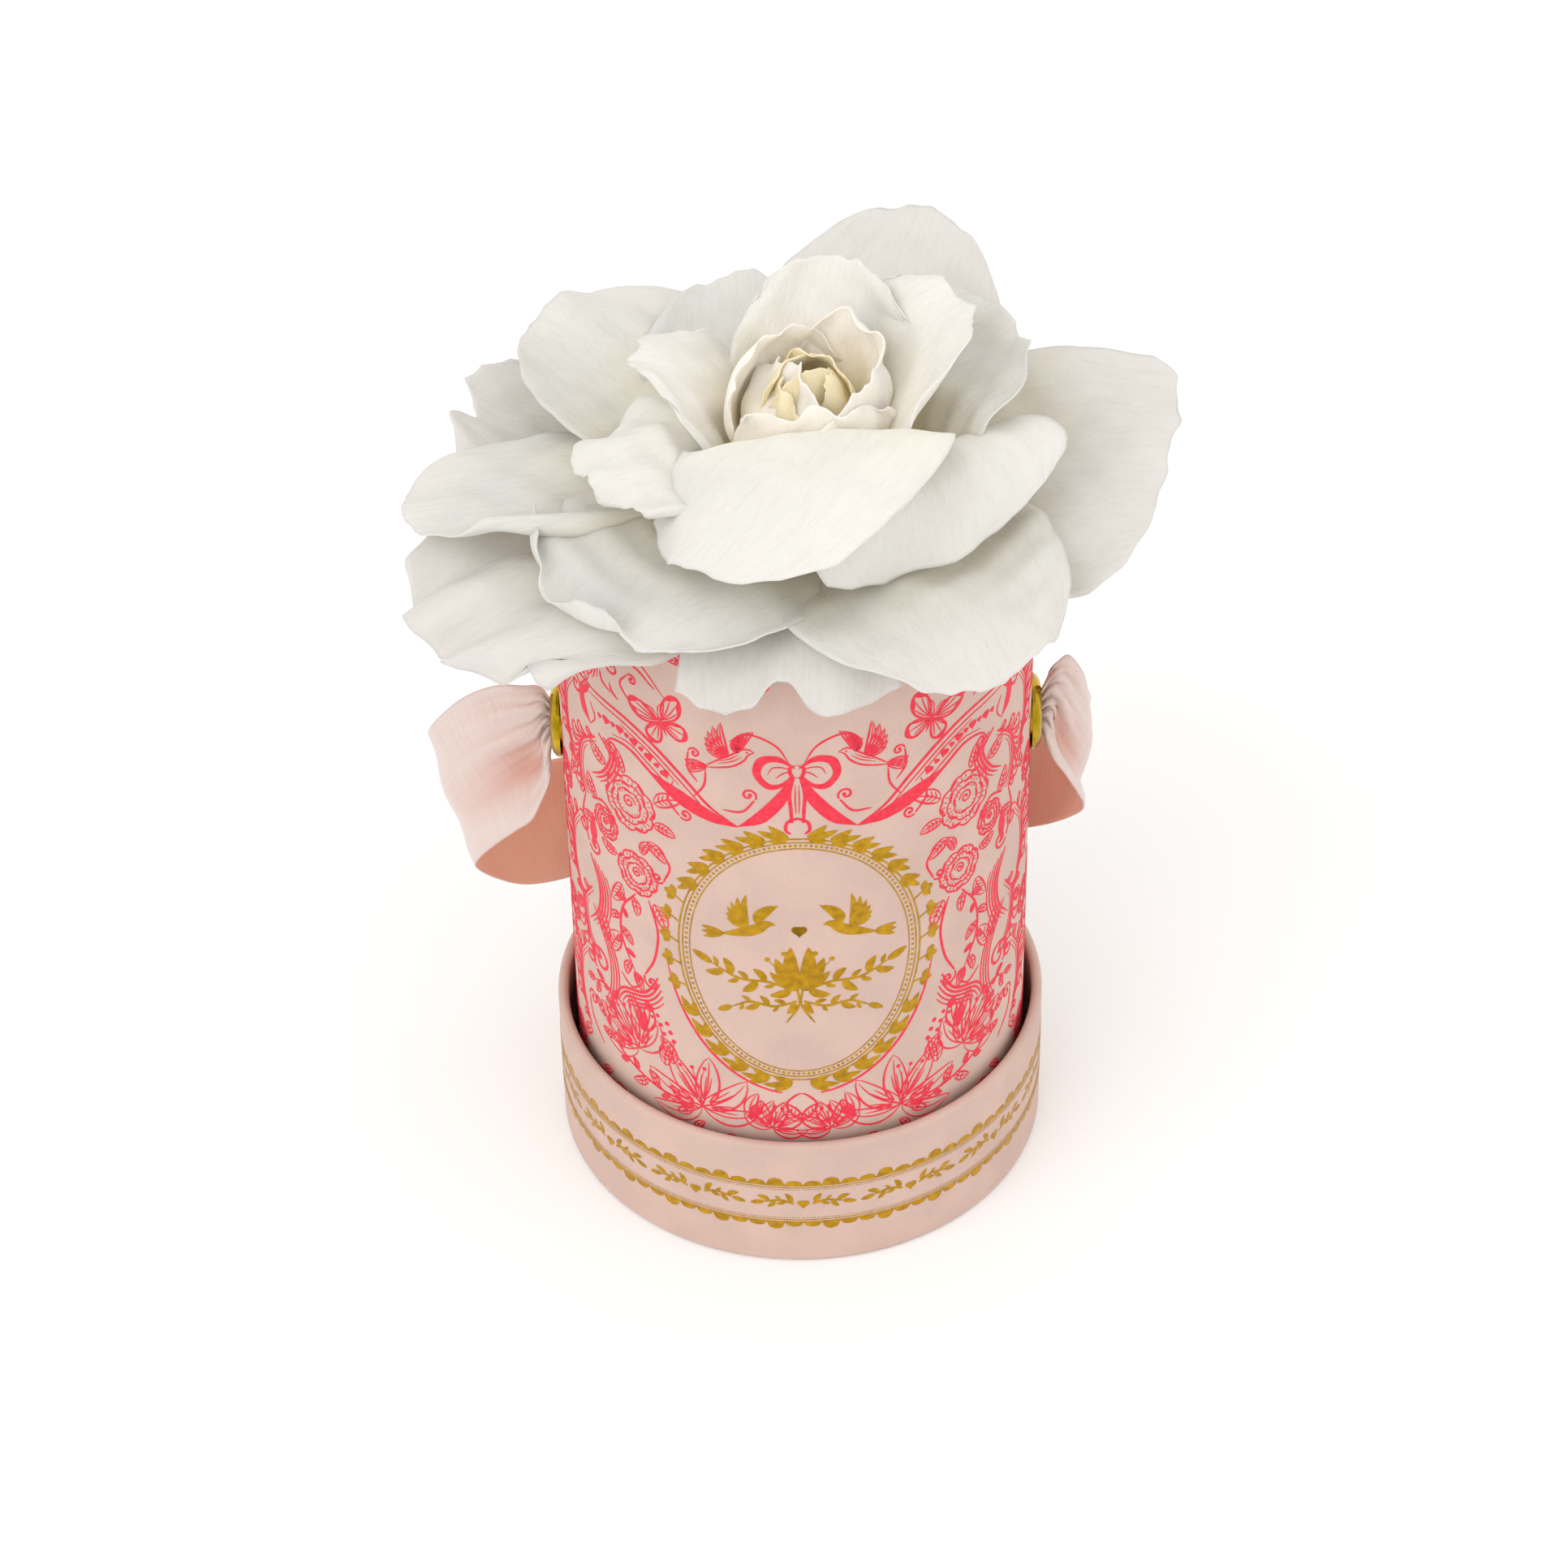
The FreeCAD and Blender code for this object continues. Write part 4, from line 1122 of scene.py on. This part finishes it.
def crumple(points, seed, size):
    """Soft uneven dents over a petal, and a torn, wavering rim."""
    rng = np.random.default_rng(seed)
    rows, cols, _ = points.shape
    t = np.linspace(0, 1, rows)[:, None] + np.zeros((1, cols))
    u = np.linspace(-1, 1, cols)[None, :] + np.zeros((rows, 1))
    x, y, z = np.moveaxis(points, 2, 0)
    free = ease(t * 1.8)
    rim = np.maximum(t**5, np.abs(u) ** 5) * ease(t * 3)
    broad = waves(rng, 4, 0.10, 0.22, x, y, z)
    small = waves(rng, 5, 0.35, 0.7, x, y, z)
    ribs = waves(rng, 5, 7, 16, u) * t * (1 - 0.5 * t)
    waver = waves(rng, 4, 5, 11, u + t)
    lift = size * free * (1.5 * broad + 0.42 * small + 0.2 * ribs) + size * rim * 1.1 * waver
    normal = grid_normals(points)
    outward = unit(np.gradient(points, axis=0))
    tear = np.abs(waves(rng, 3, 3, 8, u - t)) + 0.5 * np.abs(waves(rng, 3, 9, 17, u + t))
    pull = size * rim * (0.9 - 1.5 * tear)
    return points + normal * lift[..., None] + outward * pull[..., None]


def add_petal(name, slot, material, seed, crumpled=0.7, **shape):
    points = crumple(petal_points(**shape), seed, crumpled)
    t = np.linspace(0, 1, PETAL_ROWS)[:, None]
    u = np.linspace(-1, 1, PETAL_COLS)[None, :]
    near_edge = np.maximum(t**8, np.abs(u) ** 8)
    sheet = PETAL_SHEET + (PETAL_EDGE - PETAL_SHEET) * near_edge
    verts, faces = thick_sheet(points, sheet)
    piece = add_mesh(name, verts, faces, "flower", material)
    add_sheet_uv(piece, PETAL_ROWS, PETAL_COLS)
    return piece


# how each petal grows, how wide its half is, and what shapes it further
GUARD_PETALS = [
    dict(heading=-64, length=66, rise=(8, -4, -30), width=28, cup=(10, 10, 16), roll=(0, 58),
         roll_from=0.35, ruffle=2.2, waves=3.6, phase=0.9, crumpled=0.9),
    dict(heading=-5, length=48, rise=(14, -2, -58), width=18, round=0.1, shoulder=1.05, notch=0.14,
         notch_at=-0.05, skew=-0.04),
    dict(heading=88, length=53, rise=(10, 6, 3), width=28, shoulder=0.9, round=0.14, round_power=4,
         twist=-14, skew=0.13),
    dict(heading=159, length=59, rise=(12, 17, 15), width=24, skew=0.1, crumpled=0.9),
    dict(heading=-111, base_z=141, length=59, rise=(0, 8, 28), width=24, notch=0.1, notch_at=0.1,
         crumpled=1),
]
OUTER_PETALS = [
    dict(heading=-43, length=50, rise=(16, 4, -36), width=28, tip=(-140, -60, -145, -40, 0),
         tip_from=0.85),
    dict(heading=30, length=54, rise=(14, 1, -28), width=26),
    dict(heading=116, length=38, rise=(50, 34, 22), width=24, cup=25, crumpled=0.9),
    dict(heading=-168, length=42, rise=(22, 18, 8), width=24, crumpled=0.9),
    dict(heading=-132, length=54, rise=(17, 11, 3), width=24),
    dict(heading=-81, base_z=147.4, length=62, rise=(12, 2, -5), width=17, roll=(0, -120), roll_from=0.66),
]
MIDDLE_PETALS = [
    dict(heading=-100, length=32, rise=(52, 56, 44, -4), width=15, round=0.3, cup=25, crumpled=1),
    dict(heading=-62, length=38, rise=(60, 36, 4, -28), width=18, cup=(50, 20, 0), crumpled=1.3),
    dict(heading=11, bend=-74, length=60, rise=(84, 68, 4, -24, -46), width=25, round=0.08, round_power=3,
         shoulder=0.9, cup=(22, -14, -10), skew=-0.14, twist=(-6, -14, -8), crumpled=0.4),
    dict(heading=49, bend=-32, base_r=12, length=43, rise=(62, 56, 26, -42, -70), width=27, round=0.16,
         claw=0.1, widest=0.85, shoulder=0.9, cup=(10, 10, 0), skew=-0.14, twist=9, crumpled=0.5),
    dict(heading=104, length=37, rise=(72, 60, 30), width=20, cup=30),
    dict(heading=164, length=33, rise=(66, 68, 60), width=18, cup=30, crumpled=1.1),
]
INNER_PETALS = [
    dict(heading=-62, base_r=9, length=24, rise=(78, 92, 124, 96), width=14, cup=46, crumpled=0.9),
    dict(heading=-140, base_r=9, length=25, rise=(76, 86, 108), width=15),
    dict(heading=10, length=21, rise=(80, 86, 82), width=17, cup=46, ruffle=0.8, crumpled=0.7),
    dict(heading=64, length=23, rise=(76, 84, 106), width=15, crumpled=0.6),
    dict(heading=128, length=27, rise=(74, 84, 118), width=17, cup=54),
]
CORE_PETALS = [
    dict(heading=-150, length=22, rise=(80, 94, 128), width=11),
    dict(heading=150, length=22, rise=(80, 94, 128), width=11),
    dict(heading=80, length=21, rise=(80, 94, 126), width=10),
    dict(heading=-85, base_r=6, length=19, rise=(82, 94, 120), width=9),
]
HEART_PETALS = [
    dict(heading=25, length=19, rise=(86, 98, 118), width=10, cup=44),
    dict(heading=170, length=15, rise=(86, 94, 130), width=7),
    dict(heading=-60, length=13, rise=(86, 94, 126), width=7),
]
# name, slot and material of each tier, what its petals share, and its petals
TIERS = [
    ("guard", "outer", "guard", dict(base_r=9, base_z=144.6), GUARD_PETALS),
    ("outer", "outer", "outer", dict(base_r=9, base_z=146.4), OUTER_PETALS),
    ("middle", "middle", "middle", dict(base_r=9, base_z=148), MIDDLE_PETALS),
    ("inner", "heart", "heart", dict(base_r=10, base_z=149, cup=50, crumpled=0.8), INNER_PETALS),
    ("core", "heart", "core", dict(base_r=7, base_z=150, cup=58, crumpled=0.6), CORE_PETALS),
    ("heart", "heart", "core", dict(base_r=4, base_z=152, cup=64, crumpled=0.4), HEART_PETALS),
]


def build_bloom():
    seed = FIRST_SEED
    for tier, slot, look, shared, petals in TIERS:
        for i, petal in enumerate(petals, start=1):
            node = f"{tier}_petal_{i}"
            shape = {**shared, **petal}
            piece = add_petal(f"{node}_looks", f"{slot}_petals", MATERIALS[f"{look}_petals"], seed, **shape)
            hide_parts(node)
            seed += 1


build_bloom()

# ------------------------------------------------------------------ the ribbon

RIBBON_COLS = 49
ROWS_PER_STATION = 14
RIBBON_SHEET = 0.35
# Stations across the ribbon in mm: its upper edge, its lower edge, and how deep its pleats and its
# dent towards the tube are there. It runs from the left knot round the back to the right knot.
RIBBON = [
    ((-36.5, 0, 97), (-36.5, 0, 92.4), 1.3, 0),
    ((-40.5, 0, 97.2), (-40.5, 0, 92.2), 1.3, 0),
    ((-43.4, 0, 97.6), (-43.2, -0.4, 91.6), 1.2, 0),
    ((-45.8, 0.6, 101.2), (-44.8, -2.6, 88.4), 0.9, 0.5),
    ((-49, 1, 101.4), (-45.4, -5.2, 82.4), 0.7, 1.8),
    ((-54, 2, 100.8), (-47.2, -5.6, 77.2), 0.5, 2.6),
    ((-60, 3.6, 97), (-50.8, -4.8, 73), 0.3, 1.8),
    ((-65.2, 6.6, 89.9), (-55, -2.4, 67.4), 0.12, 0.8),
    ((-67.8, 10.6, 82.6), (-58.8, 1.2, 60.8), 0, 0.2),
    ((-66.8, 16, 75.4), (-60.2, 6.2, 53.6), 0, 0),
    ((-63.2, 22, 67.2), (-57.6, 12.4, 45.2), 0, 0),
    ((-55.2, 28, 61), (-52, 18.5, 38.2), 0, 0),
    ((-45.5, 34, 57), (-43.5, 25, 34.4), 0, 0),
    ((-33.5, 40.4, 56), (-32.5, 33.6, 32.6), 0, 0),
    ((-18, 46, 56.6), (-18, 41.5, 32.6), 0, 0),
    ((0, 48.5, 57), (0, 45.5, 33), 0, 0),
    ((18, 46.3, 58.5), (18, 41.8, 34.5), 0, 0),
    ((31, 41, 61.5), (30, 33.8, 37.5), 0, 0),
    ((40, 34.6, 66.6), (38, 26.5, 43), 0, 0),
    ((47.3, 27.2, 72.9), (44.2, 20, 49.5), 0, 0),
    ((52.4, 19, 80.4), (49.2, 14, 56), 0, 0),
    ((54.2, 11.4, 88), (52, 8, 63.2), 0.05, 0.3),
    ((53.2, 6, 95.2), (52, 2.6, 70.4), 0.18, 1.2),
    ((51.6, 3, 101.6), (50, -1.2, 77.2), 0.36, 2.4),
    ((49.8, 1.4, 105.8), (47.6, -3.2, 83.4), 0.55, 2.4),
    ((47.8, 0.4, 106.6), (46, -3, 88), 0.8, 1.2),
    ((45.8, 0, 104), (45, -2, 90.4), 1, 0.4),
    ((43.4, 0, 97.6), (43.2, -0.4, 91.6), 1.2, 0),
    ((40.5, 0, 97.2), (40.5, 0, 92.2), 1.3, 0),
    ((36.5, 0, 97), (36.5, 0, 92.4), 1.3, 0),
]


def ribbon_points():
    """The middle surface of the ribbon, and how deep in a fold each of its points is, 0 to 1, which sets
    the painted shade of its folds. Its pleats are waves of three sizes that fan out from the eyelets and
    fade towards its lower edge.
    Where it is not pleated it bulges a little and sways."""
    rows = ROWS_PER_STATION * (len(RIBBON) - 1) + 1
    upper, lower, pleats, dents = (flowing([s[k] for s in RIBBON], rows) for k in range(4))
    share = np.linspace(0, 1, RIBBON_COLS)[None, :]
    run = np.linspace(0, 1, rows)[:, None]
    points = upper[:, None] * (1 - share[..., None]) + lower[:, None] * share[..., None]
    pleat = np.maximum(pleats, 0)[:, None]
    smoothness = np.clip(1 - pleat, 0, 1)
    gather = np.sin(2 * np.pi * (5.4 * share + 1.5 * np.sin(7 * run)))
    gather += 0.45 * np.sin(2 * np.pi * 11.3 * share + 9 * run)
    gather += 0.3 * np.sin(2 * np.pi * 19 * share - 14 * run)
    gather *= 0.35 + 0.65 * (1 - share) ** 0.5
    hollow = np.exp(-(((share - 0.66) / 0.17) ** 2)) - 0.55 * np.exp(-(((share - 1.0) / 0.12) ** 2))
    dent = 1.35 * np.maximum(dents, 0)[:, None] * hollow
    sway = 0.35 * np.sin(2 * np.pi * (1.6 * share + 9 * run)) * smoothness
    crown = 0.9 * np.sin(np.pi * share) * smoothness
    inward = pleat * gather * 0.55 + dent - sway - crown
    fold_shade = np.clip(0.3 * dent + 0.35 * pleat * gather, 0, 1)
    return points + grid_normals(points) * inward[..., None], fold_shade


def build_ribbon():
    points, fold_shade = ribbon_points()
    rows, cols, _ = points.shape
    verts, faces = thick_sheet(points, RIBBON_SHEET)
    satin = MATERIALS["satin_ribbon"]
    ribbon = add_mesh("ribbon_handle_looks", verts, faces, "handle", satin)
    add_sheet_uv(ribbon, rows, cols)
    # painted shade: the inner face is marked 1 for a painted orange bounce light, and the outer face half
    # how deep in a fold it lies, for painted salmon shade in its folds
    painted_shade = ribbon.data.attributes.new("painted_shade", "FLOAT", "POINT")
    painted_shade.data.foreach_set("value", np.concatenate([np.ones(rows * cols), 0.5 * fold_shade.ravel()]))
    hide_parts("ribbon_handle")


# ------------------------------------------------------------------ knots and foam

KNOT_TURNS = 96
FOAM_TURNS = 160
FOAM_STEP = 1.3
FOAM_SEED = 9
STEM_PLAY = 0.3


def lathe(profile, count):
    """A closed skin round the z axis through (radius, height) pairs that start and end on it."""
    profile = np.asarray(profile, float)
    turn = np.linspace(0, 2 * np.pi, count, endpoint=False)
    r, z = profile[1:-1, 0][:, None], profile[1:-1, 1][:, None]
    rings = np.stack([r * np.cos(turn), r * np.sin(turn), z + 0 * turn], -1)
    ends = np.array([[0, 0, profile[0, 1]], [0, 0, profile[-1, 1]]])
    last = len(profile) - 3
    faces = []
    for j in range(count):
        k = (j + 1) % count
        for i in range(last):
            a, b = i * count, (i + 1) * count
            faces.append((a + j, a + k, b + k, b + j))
        faces.append((len(rings) * count, k, j))
        faces.append((len(rings) * count + 1, last * count + j, last * count + k))
    return np.concatenate([rings.reshape(-1, 3), ends]), faces


def divided(corners, step):
    """The corners of a profile with points every step or less between them."""
    out = []
    for start, end in zip(corners, corners[1:]):
        parts = max(1, math.ceil(math.dist(start, end) / step))
        out += [tuple(np.add(start, np.subtract(end, start) * i / parts)) for i in range(parts)]
    return out + [corners[-1]]


def build_knots():
    """Each end of the ribbon is wound round itself and pulled tight inside the wall."""
    for side, way in (("left", -1), ("right", 1)):
        low, high = node_box(f"ribbon_knot_{side}")
        inner, outer = sorted(abs(v) for v in (low[0], high[0]))
        radius = (high[2] - low[2]) / 2
        outline = [(0, inner), (0.5, inner + 0.4), (0.86, inner + 3), (0.94, inner + 7)]
        outline += [(0.9, outer - 4.4), (0.62, outer - 1.2), (0.34, outer - 0.2), (0, outer)]
        outline = smooth(np.array(outline) * (radius, 1), FINE)
        outline[:, 0] = np.maximum(outline[:, 0], 0)
        verts, faces = lathe(outline, KNOT_TURNS)
        angle = np.arctan2(verts[:, 1], verts[:, 0])
        along = (verts[:, 2] - inner) / (outer - inner)
        wraps = np.abs(np.sin(1.5 * angle + 5.2 * along)) ** 0.55
        pleats = np.sin(17 * angle + 9 * along) + 0.6 * np.sin(29 * angle - 5 * along)
        swell = 0.86 + 0.14 * wraps + 0.012 * pleats
        verts[:, :2] *= swell[:, None]
        verts = np.stack([way * verts[:, 2], verts[:, 1], verts[:, 0] + EYELET_Z], 1)
        faces = [f[::-1] for f in faces] if way > 0 else faces
        satin = MATERIALS["satin_ribbon"]
        knot = add_mesh(f"ribbon_knot_{side}_looks", verts, faces, "handle", satin)
        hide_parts(f"ribbon_knot_{side}")


def build_foam():
    """A round block of floral foam, crumbled at its top and rim, with the hole that the stem made."""
    low, high = node_box("foam_block")
    radius = (high[0] - low[0]) / 2
    hole = (STEM_HIGH[0] - STEM_LOW[0]) / 2 + STEM_PLAY
    top, foot = high[2], STEM_LOW[2] - STEM_PLAY
    corners = [(0, low[2]), (radius, low[2]), (radius, top - 1), (radius - 1, top)]
    corners += [(hole + 0.4, top), (hole, top - 0.6), (hole, foot), (0, foot)]
    verts, faces = lathe(divided(corners, FOAM_STEP), FOAM_TURNS)
    x, y, z = verts.T.copy()
    r = np.hypot(x, y)
    rng = np.random.default_rng(FOAM_SEED)
    crumbs = np.abs(waves(rng, 6, 0.5, 2.4, x, y, z))
    dents = np.maximum(waves(rng, 4, 0.08, 0.3, x, y, z), 0)
    at_top = ease((z - top + 2) / 2) * (r > hole + 0.5)
    at_side = ease((r - radius + 2) / 2)
    verts[:, 2] -= at_top * (0.35 * crumbs + 0.7 * dents)
    shrink = 1 - at_side * (0.3 * crumbs + 0.3 * dents) / radius
    verts[:, :2] *= shrink[:, None]
    verts[:, 0] += FLOWER_X * np.where(z > foot - 0.1, np.clip((radius - r) / (radius - hole), 0, 1), 0)
    foam = add_mesh("foam_block_looks", verts, faces, "box", MATERIALS["floral_foam"])
    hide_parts("foam_block")


build_ribbon()
build_knots()
build_foam()

# ------------------------------------------------------------------ stage, light and camera

FLOOR_REACH = 40.0


def build_stage():
    look = Nodes("Pale_floor", Roughness=0.9, Specular_IOR_Level=0.05)
    cloud = look.noise(look.coordinates(), 3.0, 2.0)
    look.two_tone(cloud, (0.93, 0.93, 0.93), (0.95, 0.95, 0.95))
    mesh = bpy.data.meshes.new("floor")
    corners = [(x * FLOOR_REACH, y * FLOOR_REACH, 0) for x, y in ((-1, -1), (1, -1), (1, 1), (-1, 1))]
    mesh.from_pydata(corners, [], [(0, 1, 2, 3)])
    mesh.materials.append(look.material)
    floor = bpy.data.objects.new("floor", mesh)
    bpy.context.scene.collection.objects.link(floor)

    world = bpy.data.worlds.new("Studio")
    bpy.context.scene.world = world
    world.use_nodes = True
    background = world.node_tree.nodes["Background"]
    background.inputs["Color"].default_value = (1, 0.985, 0.965, 1)
    background.inputs["Strength"].default_value = 1.0


def add_light(name, azimuth, elevation, softness, strength):
    """A broad light so far off that it falls evenly on the whole floor. Angles are in degrees."""
    lamp = bpy.data.lights.new(name, "SUN")
    lamp.angle = math.radians(softness)
    lamp.energy = strength
    lamp_object = bpy.data.objects.new(name, lamp)
    lamp_object.rotation_euler = (math.radians(90 - elevation), 0, math.radians(azimuth))
    bpy.context.scene.collection.objects.link(lamp_object)


def add_camera():
    """Looks down at the front from a little over arm's length."""
    distance, elevation, roll = 0.81839, math.radians(41.25), math.radians(0.886)
    target = Vector((0, 0, 0.060))
    lens = bpy.data.cameras.new("camera")
    lens.sensor_width = 36
    lens.lens = 100.9
    lens.shift_x = -0.0090
    lens.shift_y = 0.0475
    lens.clip_start = 0.05
    lens.clip_end = 120
    camera = bpy.data.objects.new("camera", lens)
    camera.location = target + Vector((0, -math.cos(elevation), math.sin(elevation))) * distance
    look_down = Euler((math.pi / 2 - elevation, 0, 0)).to_matrix()
    camera.rotation_euler = (look_down @ Matrix.Rotation(-roll, 3, "Z")).to_euler()
    bpy.context.scene.collection.objects.link(camera)
    bpy.context.scene.camera = camera


build_stage()
add_light("key", -42, 40, 50, 0.8)
add_light("fill", 52, 38, 60, 0.4)
add_camera()
bpy.context.scene.view_settings.view_transform = "Standard"
